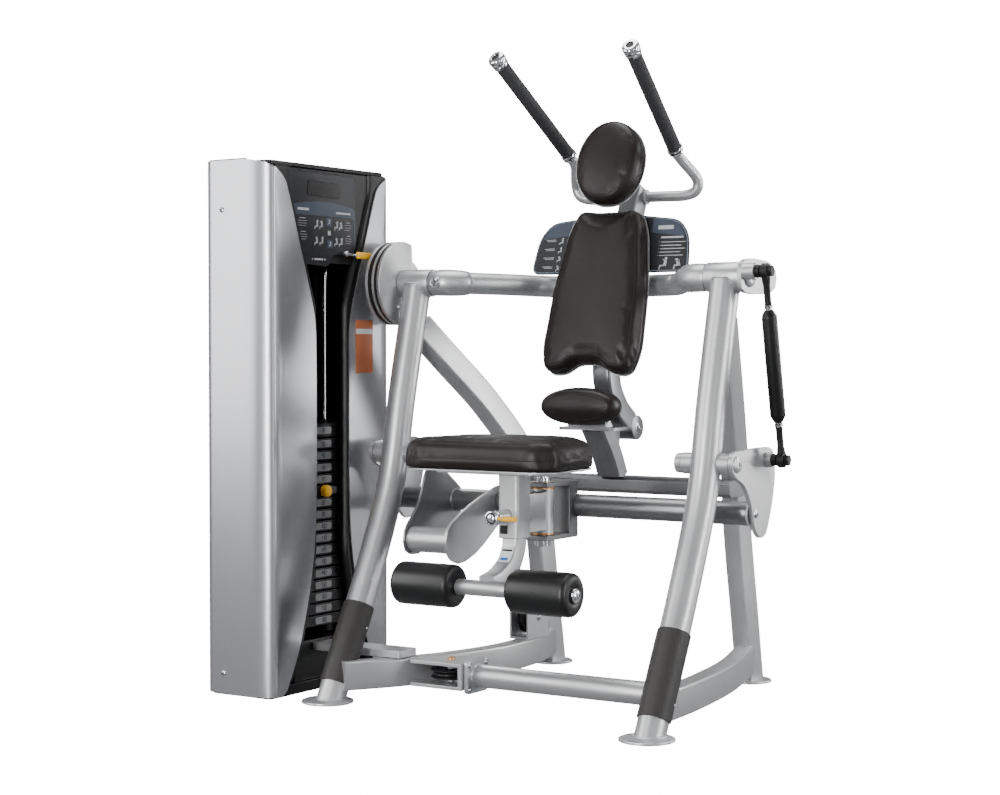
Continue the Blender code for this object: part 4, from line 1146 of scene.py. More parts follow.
def build_stack_head():
    """The stack's top plate with its tag and bushes, and the stem that hangs from it."""
    top_z = STACK_Z + (FIXED_PLATES + LIFTED_PLATES) * PITCH
    slab("stack_head", (PLATE_BACK, PLATE_FACE), (TOWER_Y - PLATE_HALF, TOWER_Y + PLATE_HALF),
         (top_z, top_z + 0.038), "iron", "lifted_stack", ("top_plate",), radius=0.012, bevel=0.003)
    tags, digits = bmesh.new(), bmesh.new()
    weight_tag(tags, digits, "10", TOWER_Y - 0.036, TOWER_Y + 0.036, top_z + 0.019)
    piece("top_weight_tag", tags, "tag", "lifted_stack")
    piece("top_weight_number", digits, "iron", "lifted_stack")
    for tag, offset in (("a", -GUIDE_OFFSET), ("b", GUIDE_OFFSET)):
        turned(f"stack_bush_{tag}", "z", (STACK_X, TOWER_Y + offset),
               [(top_z + 0.034, 0.0125), (top_z + 0.034, 0.021), (top_z + 0.044, 0.021),
                (top_z + 0.0455, 0.0195), (top_z + 0.0455, 0.0125), (top_z + 0.034, 0.0125)],
               "plastic", "lifted_stack")
    turned("selector_rod", "z", (STACK_X, TOWER_Y),
           [(0.190, 0.0), (0.190, 0.0115), (0.1915, 0.0130), (top_z + 0.0385, 0.0130),
            (top_z + 0.0385, 0.0220), (0.743, 0.0220), (0.745, 0.0205), (0.745, 0.0130),
            (0.760, 0.0130), (0.765, 0.0080), (0.765, 0.0)], "chrome", "lifted_stack", ("selector_stem",))


def build_selector():
    """The selector pin, in the lowest lifted plate."""
    pin_z = STACK_Z + (FIXED_PLATES + 0.5) * PITCH - 0.0015
    turned("selector_knob", "x", (TOWER_Y, pin_z),
           [(-0.6885, 0.0), (-0.6885, 0.0042), (-0.6878, 0.0050), (-0.6340, 0.0050), (-0.6340, 0.0125),
            (-0.6325, 0.0150), (-0.6290, 0.0160), (-0.6190, 0.0160), (-0.6155, 0.0150), (-0.6140, 0.0120),
            (-0.6136, 0.0070), (-0.6136, 0.0)], "yellow", "selector_pin", ("selector_pin",))
    collar("selector_shank", "x", (TOWER_Y, pin_z), 0.0051, 0.0085, -0.6350, -0.6336, "steel",
           "selector_pin")


def build_add_on_lever():
    """The small lever below the placard: a bent stem and a moulded handle."""
    path = smooth_path([(-0.596, *LEVER_BOSS), (-0.5905, 0.300, 1.1755), (-0.5870, 0.325, 1.1745)], 6)
    piece("add_on_stem", loft_mesh(sweep_rings(path, circle(0.0034, 20), (0, 0, 1))), "steel",
          "add_on_lever", ("add_on_lever",))
    shape = [(0.0, 0.70), (0.012, 0.90), (0.05, 1.0), (0.45, 1.0), (0.52, 0.94), (0.58, 1.0), (0.90, 0.98),
             (0.97, 0.86), (1.0, 0.60)]
    start, end = Vector((-0.5868, 0.312, 1.1750)), Vector((-0.5865, 0.392, 1.1735))
    path = [start.lerp(end, t) for t, _ in shape]
    rings = []
    for (t, r), ring in zip(shape, sweep_rings(path, rectangle(0.0185, 0.0125, 0.0045), (0, 0, 1))):
        here = start.lerp(end, t)
        rings.append([here + (p - here) * r for p in ring])
    piece("add_on_handle", loft_mesh(rings), "yellow", "add_on_lever", sharp=50)
    rod("add_on_boss", "x", LEVER_BOSS, 0.008, -0.6085, -0.5935, "steel", "add_on_lever", edge=0.001)


def build_tower_placard():
    """The plain placard at the head of the tower."""
    outline = rounded([(0.004, 1.392), (0.318, 1.392), (0.341, 1.374), (0.336, 1.290), (0.329, 1.182),
                       (0.231, 1.171), (0.213, 1.140), (0.096, 1.146), (0.040, 1.225)], 0.012)
    plate("tower_sign", "x", outline, -0.614, -0.6093, "label", "frame", ("tower_placard",), 0.0022)

    def where(a, b, out):
        return (SIGN_FACE + out, a, b)
    band = bmesh.new()
    arch = [(0.060 + 0.262 * k / 14, 1.303 + 0.012 * math.sin(math.pi * k / 14)) for k in range(15)]
    arch += [(0.332, 1.296), (0.334, 1.200), (0.330, 1.200), (0.326, 1.270), (0.318, 1.277), (0.066, 1.277)]
    loft_mesh([[where(a, b, out) for a, b in arch] for out in (0.0, 0.0006)], mesh=band)
    for y, z in ((0.214, 1.2610), (0.219, 1.2020)):
        bar(band, (y - 0.012, y + 0.012), (z - 0.011, z + 0.011), 0.0006, where)
    piece("tower_sign_band", band, "header", "frame")
    ink = bmesh.new()

    def over_band(a, b, out):
        return where(a, b, out + 0.0005)
    bar(ink, (0.078, 0.126), (1.288, 1.2945), 0.0005, over_band)
    bar(ink, (0.246, 0.310), (1.285, 1.2900), 0.0005, over_band)
    for left, right, top in ((0.080, 0.118, 1.268), (0.286, 0.314, 1.264), (0.086, 0.118, 1.232),
                             (0.288, 0.316, 1.228)):
        bar(ink, (left + 0.006, right - 0.006), (top - 0.0016, top), 0.0004, where)
        for line in range(3):
            z = top - 0.0075 - line * 0.0065
            bar(ink, (left, right - 0.004 * (line == 2)), (z - 0.0009, z), 0.0003, where)
    for row, top in enumerate((1.270, 1.226)):
        for column, y in enumerate((0.158, 0.180, 0.246, 0.266)):
            figure(ink, (y + 0.004, top - 0.030), 0.026, where, 0.0004, 0.45 * ((row + column) % 2))
    for y, z in ((0.214, 1.2610), (0.219, 1.2020)):
        figure(ink, (y + 0.002, z - 0.008), 0.016, over_band, 0.0004, 0.2)
    bar(ink, (0.210, 0.222), (1.226, 1.238), 0.0004, where)
    bar(ink, (0.150, 0.188), (1.1575, 1.1620), 0.0004, where)
    for tip, y in ((-1, 0.144), (1, 0.194)):
        loft_mesh([[where(a, b, out) for a, b in ((y, 1.1565), (y + tip * 0.006, 1.1597), (y, 1.1630))]
                   for out in (0.0, 0.0004)], mesh=ink)
    piece("tower_sign_print", ink, "print", "frame")
    crest = rounded([(0.118, 1.330), (0.262, 1.326), (0.268, 1.366), (0.124, 1.372)], 0.008)
    plate("tower_sign_blank", "x", crest, -0.6096, -0.6072, "plastic", "frame", bevel=0.0008)


# ---- the torso arm -----------------------------------------------------------------------
def leaning(name, outline, low, high, look, body, replaces=(), bevel=0.0015):
    """A flat piece parallel to the backrest."""
    rings = [[on_back(x, up, depth) for x, up in outline] for depth in (low, high)]
    return piece(name, loft_mesh(rings), look, body, replaces, bevel)


def mast_path():
    """Centre line of the mast behind the pads."""
    return [(0, 0.830, 1.365), (0, 0.760, 1.200), (0, 0.722, 1.080), (0, 0.665, 0.900),
            (0, 0.668, 0.820), (0, 0.710, 0.755), (0, 0.765, 0.715)]


def arm_sleeve(label, side, points, body):
    """The machined socket between the hub's shaft and the arm's tube, waisted at both ends."""
    path = smooth_path([(side * 0.4155, 0.440, 1.100), *points], 24)
    shape = ((0.0, 0.0335), (0.0015, 0.0352), (0.012, 0.0360), (0.040, 0.0366), (0.066, 0.0360),
             (0.086, 0.0342), (0.096, 0.0326), (0.0975, 0.0312), (0.0976, 0.0300))
    run, k, spots, radii = 0.0, 0, [], []
    for here, ahead in zip(path, path[1:]):
        step = (ahead - here).length
        while k < len(shape) and shape[k][0] <= run + step:
            spots.append(here.lerp(ahead, (shape[k][0] - run) / step))
            radii.append(shape[k][1])
            k += 1
        run += step
    rings = []
    for ring, here, radius in zip(sweep_rings(spots, circle(1.0, 56), (0, 0, 1)), spots, radii):
        rings.append([here + (p - here) * radius for p in ring])
    piece(f"{label}_arm_socket", loft_mesh(rings), "silver", body)
    weld(f"{label}_arm_socket_weld", smooth_path(points, 24)[::-1], 0.0302,
         lambda p, stop=spots[-1]: (Vector(p) - stop).dot(spots[-1] - spots[-3]) < 0.0, body,
         side=(0, 0, 1), bead=0.0022)
    if side < 0:
        centre = (side * 0.392, 1.100)
        turned("socket_screw_seat", "y", centre, [(0.4040, 0.0085), (0.4025, 0.0148), (0.4045, 0.0162),
                                                  (0.4120, 0.0165), (0.4120, 0.0085), (0.4040, 0.0085)],
               "silver", body, count=40)
        turned("socket_screw", "y", centre, [(0.4100, 0.0), (0.4100, 0.0125), (0.4030, 0.0125),
                                             (0.4015, 0.0115), (0.4005, 0.0092), (0.3965, 0.0088),
                                             (0.3955, 0.0075), (0.3958, 0.0050), (0.4000, 0.0046),
                                             (0.4000, 0.0)], "chrome", body, count=32)


def build_arm():
    """The torso arm and all that swings with it."""
    body = "torso_arm"
    for label, side in SIDES:
        points = [(side * 0.385, 0.440, 1.100), (side * 0.345, 0.476, 1.099), (side * 0.262, 0.600, 1.096),
                  (side * 0.185, 0.700, 1.092), (side * 0.010, 0.730, 1.090)]
        mesh = loft_mesh(sweep_rings(smooth_path(points, 12), circle(0.030, 56), (0, 0, 1)))
        piece(f"{label}_arm_tube_fine", mesh, "silver", body, (f"{label}_swing_arm",))
        shaft = ((0.380, 0.0), (0.380, 0.0195), (0.5195, 0.0195), (0.5195, 0.0))
        turned(f"{label}_arm_shaft", "x", UPPER, mirrored(side, shaft), "steel", body)
        arm_sleeve(label, side, points, body)
        collar(f"{label}_arm_seal", "x", UPPER, 0.0195, 0.0345, side * 0.4148, side * 0.4198, "rubber", body,
               count=64)
    mast = smooth_path(mast_path(), 10)
    piece("arm_mast_tube", loft_mesh(sweep_rings(mast, rectangle(0.056, 0.066, 0.010))), "grey", body,
          ("arm_mast",))
    rod("mast_tail", "x", MAST_TAIL, 0.034, -0.0285, 0.0285, "grey", body, edge=0.002, count=56)
    for tag, side in WAYS:
        bolt(f"mast_tail_bolt_{tag}", "x", MAST_TAIL, side * 0.0285, side, 0.010, "steel", body)
    build_handles(body)
    build_back_pads(body)
    build_arm_placard(body)
    build_cam(body)
    build_upper_crank(body)


def build_back_pads(body):
    """The back and head cushions on their boards."""
    pad = rounded([(-0.034, 0.456), (0.034, 0.456), (0.088, 0.466), (0.116, 0.404), (0.140, 0.240),
                   (0.147, 0.066), (0.128, 0.000), (0.072, 0.001), (0.036, 0.030), (-0.036, 0.030),
                   (-0.072, 0.001), (-0.128, 0.000), (-0.147, 0.066), (-0.140, 0.240),
                   (-0.116, 0.404), (-0.088, 0.466)], 0.036, 10)
    cushion("back_cushion", pad, PAD_T - 0.0035, 0.010, 0.023, on_back, body, "back_pad")
    back_board("back_board", pad, 0.0012, PAD_T - 0.0034, PAD_T, on_back, body)
    head = []
    for angle in turns(200):
        c, n = math.cos(angle), math.sin(angle)
        wide = 0.0965 * (1.0 - 0.10 * max(0.0, n) ** 2)
        head.append((wide * math.copysign(abs(c) ** 0.90, c),
                     0.586 + 0.118 * math.copysign(abs(n) ** 0.92, n)))

    def on_head(a, b, depth):
        return on_back(a, b, depth + HEAD_BACK - 0.067)
    cushion("head_cushion", head, 0.0635, 0.014, 0.024, on_head, body, "head_pad")
    back_board("head_board", head, 0.0008, 0.0636, 0.067, on_head, body)


def build_cam(body):
    """The grooved cam with its two belts, on the left hub."""
    stations = [(-0.521, 0.112), (-0.5222, 0.1152), (-0.5235, 0.116), (-0.5305, 0.116),
                (-0.5320, 0.1152), (-0.5335, 0.1075), (-0.5400, 0.1075), (-0.5415, 0.1152),
                (-0.5425, 0.116), (-0.5475, 0.116), (-0.5485, 0.1152), (-0.5500, 0.1075),
                (-0.5605, 0.1075), (-0.5620, 0.1152), (-0.5632, 0.116), (-0.5690, 0.116),
                (-0.5703, 0.1152), (-0.571, 0.112)]
    piece("cam_disc", loft_mesh([cam_ring(x, r) for x, r in stations]), "silver", body, ("cam_wheel",),
          sharp=30)
    for tag, low, high in (("a", -0.5400, -0.5335), ("b", -0.5605, -0.5500)):
        belt = [(low, 0.1080), (low, 0.1135), (low + 0.0006, 0.1142), (high - 0.0006, 0.1142),
                (high, 0.1135), (high, 0.1080)]
        piece(f"cam_belt_{tag}", loft_mesh([cam_ring(x, r, 0.0015) for x, r in belt]), "rubber", body,
              sharp=30)
    turned("cam_hub_cap", "x", UPPER, [(-0.5204, 0.0), (-0.5204, 0.030), (-0.5725, 0.030),
                                       (-0.5740, 0.0285), (-0.5740, 0.0)], "silver", body, count=56)
    bolt("cam_hub_bolt", "x", UPPER, -0.5740, -1, 0.011, "steel", body)
    bolt("cam_belt_bolt", "x", BELT_BOLT, -0.5710, -1, 0.008, "steel", body)
    bolt("cam_belt_nut", "x", BELT_BOLT, -0.5210, 1, 0.0075, "silver", body)


def build_upper_crank(body):
    """The crank on the right hub, with the stud for the connecting rod."""
    refine("upper_crank", "silver", body, 0.0025)
    turned("upper_pivot_cap", "x", UPPER, [(0.5320, 0.0), (0.5320, 0.0265), (0.5360, 0.0262),
                                           (0.5400, 0.0225), (0.5425, 0.0150), (0.5430, 0.0)],
           "silver", body, count=56)
    bolt("upper_pivot_bolt", "x", UPPER, 0.5426, 1, 0.009, "steel", body, washer=False)
    crank_stud("upper", UPPER_STUD, 0.5320, 0.0205, (0.0160, 0.0170, 0.0152, 0.0158, 0.0120),
               (0.5995, 0.6090), body)


def crank_stud(name, centre, face, size, boot, nut, body):
    """What carries one end of the connecting rod: a machined base, a ribbed boot and a nut."""
    turned(f"{name}_stud_base", "x", centre, [(face, 0.0), (face, size), (0.5640, size),
                                              (0.5655, size - 0.0015), (0.5655, 0.0)], "silver", body)
    ribs = zip((0.5655, 0.5690, 0.5730, 0.5770, 0.5800), boot)
    turned(f"{name}_stud_boot", "x", centre, [(0.5655, 0.0), *ribs, (0.5800, 0.0)], "rubber", body)
    low, high = nut
    turned(f"{name}_stud_nut", "x", centre, [(low, 0.0), (low, 0.0150), (high, 0.0150),
                                             (high + 0.0015, 0.0125), (high + 0.0015, 0.0)], "rubber",
           body, count=6, sharp=20)


CAM_RELIEF = ((0.478, 1.300), (0.482, 1.174), (0.492, 1.158), (0.512, 1.140), (0.516, 1.120),
              (0.508, 1.070), (0.492, 1.045), (0.478, 1.015), (0.476, 0.900))


def cam_ring(x, radius, inset=0.0):
    """The cam's outline at one depth: a circle relieved behind the hub along a smooth line."""
    line = smooth_path([(0.0, y, z) for y, z in CAM_RELIEF], 8)
    out = []
    for angle in turns(180):
        c, n = math.cos(angle), math.sin(angle)
        reach = radius
        for p, q in zip(line, line[1:]):
            py, pz, qy, qz = p.y - UPPER[0], p.z - UPPER[1], q.y - UPPER[0], q.z - UPPER[1]
            cross = c * (qz - pz) - n * (qy - py)
            if abs(cross) < 1e-9:
                continue
            t = (py * (qz - pz) - pz * (qy - py)) / cross
            u = (py * n - pz * c) / cross
            if t > 0 and 0 <= u <= 1:
                reach = min(reach, t - inset)
        out.append((x, UPPER[0] + c * reach, UPPER[1] + n * reach))
    return out


def handle_points():
    """The right handle's lowest point and direction, and the bar's half path."""
    low, top = Vector((0.165, 0.760, 1.448)), Vector((0.205, 0.415, 1.700))
    along = (top - low).normalized()
    half = [top - along * 0.018, top - along * 0.10, top - along * 0.25, low + along * 0.02, low,
            low - along * 0.030 + Vector((0.008, 0, 0)), Vector((0.192, 0.826, 1.385)),
            Vector((0.184, 0.834, 1.354)), Vector((0.150, 0.834, 1.342)), Vector((0.090, 0.834, 1.342))]
    return low, along, half


def build_handles(body):
    """The bent bar behind the head and the two padded grips on its forward ends."""
    low, along, half = handle_points()
    path = smooth_path(half + [Vector((-p.x, p.y, p.z)) for p in reversed(half)], 8)
    rings = sweep_rings(path, circle(0.0150, 32), (0, 0.59, 0.807))
    piece("handle_tube", loft_mesh(rings), "silver", body, ("handle_bar",))
    for tag, side in WAYS:
        turned(f"bar_collar_{tag}", "x", (0.834, 1.342),
               mirrored(side, ((0.026, 0.0151), (0.026, 0.0215), (0.0335, 0.0215), (0.0350, 0.0200),
                               (0.0350, 0.0151), (0.026, 0.0151))), "silver", body)
    for label, side in SIDES:
        base = Vector((side * low.x, low.y, low.z))
        ahead = Vector((side * along.x, along.y, along.z))

        def lathe(name, profile, look, replaced=()):
            spots = [base + ahead * run for run, _ in profile]
            sections = sweep_rings([base + ahead * (0.01 * k) for k in range(2)], circle(1.0, 40))
            offsets = [p - base for p in sections[0]]
            piece(name, loft_mesh([[spot + o * r for o in offsets] for spot, (_, r) in zip(spots, profile)]),
                  look, body, replaced)
        sleeve = [(0.031, 0.0160), (0.031, 0.0180), (0.033, 0.0195), (0.390, 0.0195), (0.3935, 0.0182),
                  (0.3935, 0.0160)]
        lathe(f"{label}_grip_sleeve", sleeve, "grip", (f"{label}_grip",))
        lathe(f"{label}_grip_collar", [(0.012, 0.0152), (0.012, 0.0200), (0.0135, 0.0212), (0.0285, 0.0212),
                                       (0.0305, 0.0198), (0.0305, 0.0152)], "chrome")
        lathe(f"{label}_grip_ring", [(0.022, 0.0180), (0.022, 0.0222), (0.0245, 0.0222), (0.0245, 0.0180)],
              "rubber")
        lathe(f"{label}_grip_flange", [(0.3938, 0.0152), (0.3938, 0.0208), (0.3955, 0.0222),
                                       (0.4030, 0.0226), (0.4050, 0.0210), (0.4070, 0.0208),
                                       (0.4090, 0.0230), (0.4110, 0.0240), (0.4200, 0.0240),
                                       (0.4250, 0.0224), (0.4278, 0.0190), (0.4288, 0.0150),
                                       (0.4282, 0.0112), (0.4255, 0.0104), (0.4240, 0.0100),
                                       (0.4240, 0.0001)], "chrome")
        lathe(f"{label}_grip_socket", [(0.4242, 0.0001), (0.4242, 0.0098), (0.4262, 0.0094),
                                       (0.4262, 0.0001)], "rubber")


def build_arm_placard(body):
    """The plain placard behind the back pad."""
    outline = rounded([(-0.247, 0.294), (0.247, 0.294), (0.235, 0.400), (0.200, 0.445), (0.060, 0.462),
                       (-0.060, 0.462), (-0.200, 0.445), (-0.235, 0.400)], 0.03)
    leaning("arm_sign", outline, PAD_T + 0.008, PAD_T + 0.012, "label", body, ("arm_placard",))

    def where(a, b, out):
        return on_back(a, b, PAD_T + 0.0081 - out)
    count = 120
    rim = resample(outline, count)
    ring = []
    for i in range(count):
        run = (rim[(i + 1) % count] - rim[i - 1]).normalized()
        ring.append(rim[i] + Vector((-run.y, run.x)) * 0.005)
    rings = []
    for i in range(count):
        here = Vector(where(ring[i].x, ring[i].y, 0.0))
        ahead = Vector(where(ring[(i + 1) % count].x, ring[(i + 1) % count].y, 0.0)) - here
        ahead.normalize()
        out = Vector(where(0, 0, 1.0)) - Vector(where(0, 0, 0.0))
        other = ahead.cross(out)
        rings.append([here + out * 0.0009 * math.cos(t) + other * 0.0013 * math.sin(t)
                      for t in turns(8)])
    piece("arm_sign_trim", loft_mesh(rings, closed=True), "edge", body)
    band = bmesh.new()
    for way in (1, -1):
        shape = rounded([(way * 0.118, 0.408), (way * 0.224, 0.396), (way * 0.194, 0.438),
                         (way * 0.120, 0.449)], 0.006)
        loft_mesh([[where(a, b, out) for a, b in shape] for out in (0.0, 0.0006)], mesh=band)
    piece("arm_sign_band", band, "header", body)
    ink = bmesh.new()
    bar(ink, (0.138, 0.184), (0.416, 0.427), 0.0011, where)
    bar(ink, (0.150, 0.218), (0.3905, 0.3955), 0.0005, where)
    for row in range(5):
        reach, drop = 0.226 - 0.012 * (row % 2) - 0.004 * (row == 4), row * 0.0095
        bar(ink, (0.146, 0.1475), (0.3790 - drop, 0.3805 - drop), 0.0004, where)
        bar(ink, (0.1515, reach), (0.3785 - drop, 0.3805 - drop), 0.0004, where)
    for x, lean in ((0.170, 0.0), (0.214, 0.9)):
        figure(ink, (x, 0.302), 0.036, where, 0.0005, lean)
    for row in range(4):
        drop = row * 0.026
        figure(ink, (-0.160, 0.392 - drop - 0.012), 0.021, where, 0.0005, 0.3 * row)
        bar(ink, (-0.214, -0.180), (0.394 - drop, 0.3955 - drop), 0.0004, where)
        bar(ink, (-0.208, -0.180), (0.390 - drop, 0.3915 - drop), 0.0004, where)
    piece("arm_sign_print", ink, "print", body)


# ---- seat carriage, seat and link -----------------------------------------------------------
def build_carriage():
    """The carriage that rocks below the seat."""
    body = "carriage"
    rod("carriage_cross_tube", "x", (TUBE_Y, TUBE_Z), TUBE_R, -0.5366, 0.5366, "grey", body,
        ("carriage_tube",), edge=0.0004, count=72)
    for label, side in SIDES:
        refine(f"{label}_lower_crank", "silver", body, 0.0022)
        turned(f"{label}_pivot_cap", "x", LOWER, mirrored(side, (
            (0.5475, 0.0), (0.5475, 0.0215), (0.5515, 0.0210), (0.5545, 0.0175), (0.5560, 0.0105),
            (0.5560, 0.0060), (0.5535, 0.0058), (0.5535, 0.0))), "silver", body)
        turned(f"{label}_inner_cap", "x", LOWER, mirrored(side, (
            (0.3895, 0.0), (0.3895, 0.0060), (0.3870, 0.0065), (0.3865, 0.0120), (0.3880, 0.0205),
            (0.3915, 0.0250), (0.4040, 0.0255), (0.4040, 0.0))), "silver", body)
        weld(f"{label}_crank_weld", [(side * (0.50 + 0.001 * k), TUBE_Y, TUBE_Z) for k in range(42)],
             TUBE_R, lambda p: abs(p.x) > 0.5372, body, side=(0, 1, 0))
        turned(f"{label}_crank_bolt_cap", "x", (TUBE_Y, TUBE_Z), mirrored(side, (
            (0.5480, 0.0), (0.5480, 0.0115), (0.5505, 0.0110), (0.5525, 0.0080), (0.5530, 0.0))),
            "steel", body, count=32)
    refine("hanger_plate", "grey", body, 0.002)
    for tag, x, way in (("a", -0.3560, -1), ("b", -0.3480, 1)):
        weld(f"hanger_weld_{tag}",
             [(x + way * (0.05 - 0.001 * k), TUBE_Y, TUBE_Z) for k in range(60)], TUBE_R,
             lambda p, x=x, way=way: (p.x - x) * way < 0, body, look="grey", side=(0, 1, 0), bead=0.0022)
    refine("counterweight", "silver", body, 0.002)
    turned("counterweight_cap", "x", (0.238, 0.415),
           [(-0.3482, 0.0), (-0.3482, 0.030), (-0.3470, 0.0345), (-0.3440, 0.0345)], "silver", body)
    refine("swivel_yoke", "grey", body, 0.0022)
    refine("swivel_pin", "chrome", body, 0.0015)
    for tag, low in (("low", 0.4252), ("high", 0.5706)):
        turned(f"swivel_bush_{tag}", "z", (0.0, SWIVEL_Y),
               [(low, 0.0165), (low, 0.0285), (low + 0.0005, 0.0290), (low + 0.0043, 0.0290),
                (low + 0.0048, 0.0285), (low + 0.0048, 0.0165), (low, 0.0165)], "bronze", body)
    crank_stud("lower", LOWER_STUD, 0.5470, 0.0190, (0.0150, 0.0160, 0.0145, 0.0150, 0.0115),
               (0.6005, 0.6095), body)


def build_seat():
    """The seat, its post, the foot arm and the rollers."""
    body = "seat"
    refine("seat_post", "silver", body, 0.0025)
    for tag, low in (("low", 0.4386), ("high", 0.5566)):
        collar(f"sleeve_ring_{tag}", "z", (0.0, SWIVEL_Y), 0.0170, 0.0315, low, low + 0.0048, "bronze", body)
    half_w, front, back = 0.226, -0.015, 0.306
    outline = rounded([(-half_w, front + 0.03), (-half_w + 0.05, front), (half_w - 0.05, front),
                       (half_w, front + 0.03), (half_w - 0.02, back - 0.06), (0.120, back),
                       (-0.120, back), (-half_w + 0.02, back - 0.06)], 0.040, 10)

    def on_seat(a, b, depth):
        return (a, b, SEAT_TOP - depth)
    cushion("seat_cushion", outline, SEAT_T - 0.004, 0.012, 0.030, on_seat, body, "seat_pad")
    back_board("seat_board", outline, -0.004, SEAT_T - 0.0039, SEAT_T, on_seat, body)
    piece("foot_arm_tube", loft_mesh(sweep_rings(smooth_path(FOOT_ARM, 8), rectangle(0.046, 0.052, 0.008))),
          "silver", body, ("foot_arm",))
    rod("axle_bar", "x", (ROLLER_Y, ROLLER_Z), 0.0125, -0.268, 0.268, "chrome", body, ("roller_axle",),
        edge=0.001)
    rod("axle_hub", "x", (ROLLER_Y, ROLLER_Z), 0.020, -0.080, 0.080, "silver", body, edge=0.001)
    turned("pin_face", "y", PULL_PIN, [(0.1005, 0.0068), (0.0965, 0.0068), (0.0965, 0.0150),
                                              (0.0975, 0.0172), (0.1005, 0.0176), (0.1005, 0.0068)],
           "steel", body)
    build_rollers(body)
    slab("post_bumper", (-0.0212, -0.0008), (0.1520, 0.1552), (0.452, 0.474), "rubber", body, bevel=0.001)
    build_foot_label(body)


def build_rollers(body):
    """The foam foot rollers, which spin, and their end caps, which don't."""
    for label, side in SIDES:
        low, high = ROLLER_SPAN
        r = ROLLER_R
        spin = [(high, 0.0190), (high - 0.0035, 0.0208), (high - 0.001, 0.0245), (high, 0.0290),
                (high - 0.0004, r - 0.011), (high - 0.0022, r - 0.0058), (high - 0.0055, r - 0.0022),
                (high - 0.0095, r - 0.0005), (high - 0.014, r), (low + 0.014, r),
                (low + 0.0095, r - 0.0005), (low + 0.0055, r - 0.0022), (low + 0.0022, r - 0.0058),
                (low + 0.0004, r - 0.011), (low, r - 0.016), (low, 0.0135), (high, 0.0135), (high, 0.0190)]
        turned(f"{label}_foot_roller", "x", (ROLLER_Y, ROLLER_Z), mirrored(side, spin), "foam",
               f"{label}_roller", (f"{label}_roller",), count=96, sharp=50)
        turned(f"{label}_roller_cap", "x", (ROLLER_Y, ROLLER_Z), mirrored(side, (
            (0.2560, 0.0), (0.2560, 0.0178), (0.2600, 0.0184), (0.2632, 0.0174), (0.2655, 0.0146),
            (0.2662, 0.0106), (0.2650, 0.0090), (0.2650, 0.0))), "chrome", body)
        turned(f"{label}_roller_socket", "x", (ROLLER_Y, ROLLER_Z), mirrored(side, (
            (0.2645, 0.0), (0.2645, 0.0080), (0.2690, 0.0074), (0.2698, 0.0050), (0.2670, 0.0040),
            (0.2670, 0.0))), "steel", body, count=6, sharp=20)


def build_foot_label(body):
    """A plain white film with a generic curved-arrow mark on the front of the foot arm."""
    path = smooth_path(FOOT_ARM, 8)
    start, end = 10, 19
    strip = []
    for here, ahead in zip(path[start:end], path[start + 1:end + 1]):
        run = (ahead - here).normalized()
        out = Vector((0, -1, 0)) - run * Vector((0, -1, 0)).dot(run)
        strip.append((here, out.normalized()))

    def film(name, look, half, rows, lift):
        rings = [[here + out * (0.0260 + up) + Vector((x, 0, 0)) for x, up in
                  ((-half, 0.0), (half, 0.0), (half, lift), (-half, lift))] for here, out in rows]
        piece(name, loft_mesh(rings), look, body)
    film("foot_label", "white", 0.0185, strip, 0.0006)
    film("foot_label_mark", "blue", 0.0110, strip[5:8], 0.0009)
    film("foot_label_head", "label", 0.0150, strip[0:2], 0.0009)


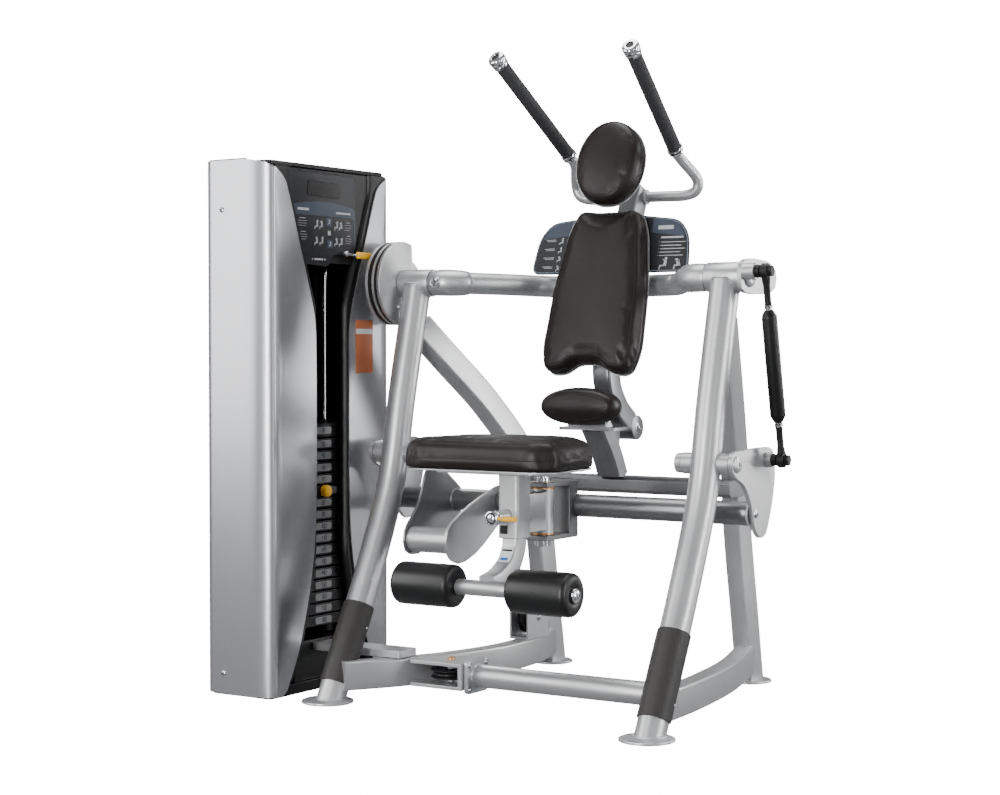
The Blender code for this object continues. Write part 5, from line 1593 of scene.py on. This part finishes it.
def build_pull_pin():
    """The spring pin that locks the seat, with its yellow lever."""
    body = "pull_pin"
    turned("pull_pin_rod", "y", PULL_PIN, [(0.186, 0.0), (0.186, 0.0045), (0.184, 0.0060), (0.090, 0.0060),
                                         (0.090, 0.0)], "steel", body, ("pull_pin",))
    turned("pull_pin_head", "y", PULL_PIN, [(0.0920, 0.0), (0.0920, 0.0170), (0.0905, 0.0180),
                                          (0.0800, 0.0180), (0.0785, 0.0170), (0.0780, 0.0150),
                                          (0.0792, 0.0142), (0.0792, 0.0112), (0.0780, 0.0104),
                                          (0.0770, 0.0085), (0.0764, 0.0)], "chrome", body, count=56)
    turned("pull_pin_ring", "y", PULL_PIN, [(0.0794, 0.0110), (0.0794, 0.0144), (0.0788, 0.0144),
                                          (0.0788, 0.0110), (0.0794, 0.0110)], "rubber", body)
    turned("pull_lever_grip", "x", (0.085, PULL_PIN[1]), [(0.012, 0.0), (0.012, 0.0042), (0.024, 0.0046),
                                                    (0.028, 0.0064), (0.040, 0.0070), (0.056, 0.0070),
                                                    (0.062, 0.0062), (0.064, 0.0076), (0.0672, 0.0070),
                                                    (0.068, 0.0)], "yellow", body, count=32)


def build_link():
    """The connecting rod between the two cranks."""
    body = "connecting_rod"
    top, low = Vector((ROD_X, *UPPER_STUD)), Vector((ROD_X, *LOWER_STUD))
    along = (low - top).normalized()
    length = (low - top).length
    offsets = sweep_rings([top, top + along], circle(1.0, 40))[0]
    offsets = [p - top for p in offsets]

    def lathe(name, profile, look, replaced=()):
        rings = [[top + along * run + o * r for o in offsets] for run, r in profile]
        piece(name, loft_mesh(rings), look, body, replaced)
    lathe("link_barrel", [(0.098, 0.0090), (0.0985, 0.0110), (0.110, 0.0172), (0.113, 0.0188),
                          (0.118, 0.0195), (length - 0.118, 0.0195), (length - 0.113, 0.0188),
                          (length - 0.110, 0.0172), (length - 0.0985, 0.0110), (length - 0.098, 0.0090)],
          "plastic", ("connecting_rod",))
    for tag, start, way, centre, bore in (("top", 0.0, 1, UPPER_STUD, 0.0085),
                                          ("low", length, -1, LOWER_STUD, 0.0112)):
        def from_end(*profile):
            return [(start + way * run, r) for run, r in profile]
        lathe(f"link_thread_{tag}", from_end((0.080, 0.0066), (0.099, 0.0066)), "steel")
        lathe(f"link_nut_{tag}", from_end((0.0865, 0.0095), (0.0875, 0.0108), (0.0945, 0.0108),
                                          (0.0955, 0.0095)), "steel")
        lathe(f"link_neck_{tag}", from_end((0.0165, 0.0110), (0.030, 0.0098), (0.034, 0.0086),
                                           (0.078, 0.0086), (0.082, 0.0092), (0.0855, 0.0088)), "rubber")
        turned(f"link_eye_{tag}", "x", centre,
               [(ROD_X + a, r) for a, r in ((-0.0090, bore), (-0.0090, 0.0165), (-0.0075, 0.0186),
                                            (-0.0050, 0.0192), (0.0050, 0.0192), (0.0075, 0.0186),
                                            (0.0090, 0.0165), (0.0090, bore), (-0.0090, bore))],
               "rubber", body)


build_studio()
build_frame()
build_tower()
build_arm()
build_carriage()
build_seat()
build_pull_pin()
build_link()
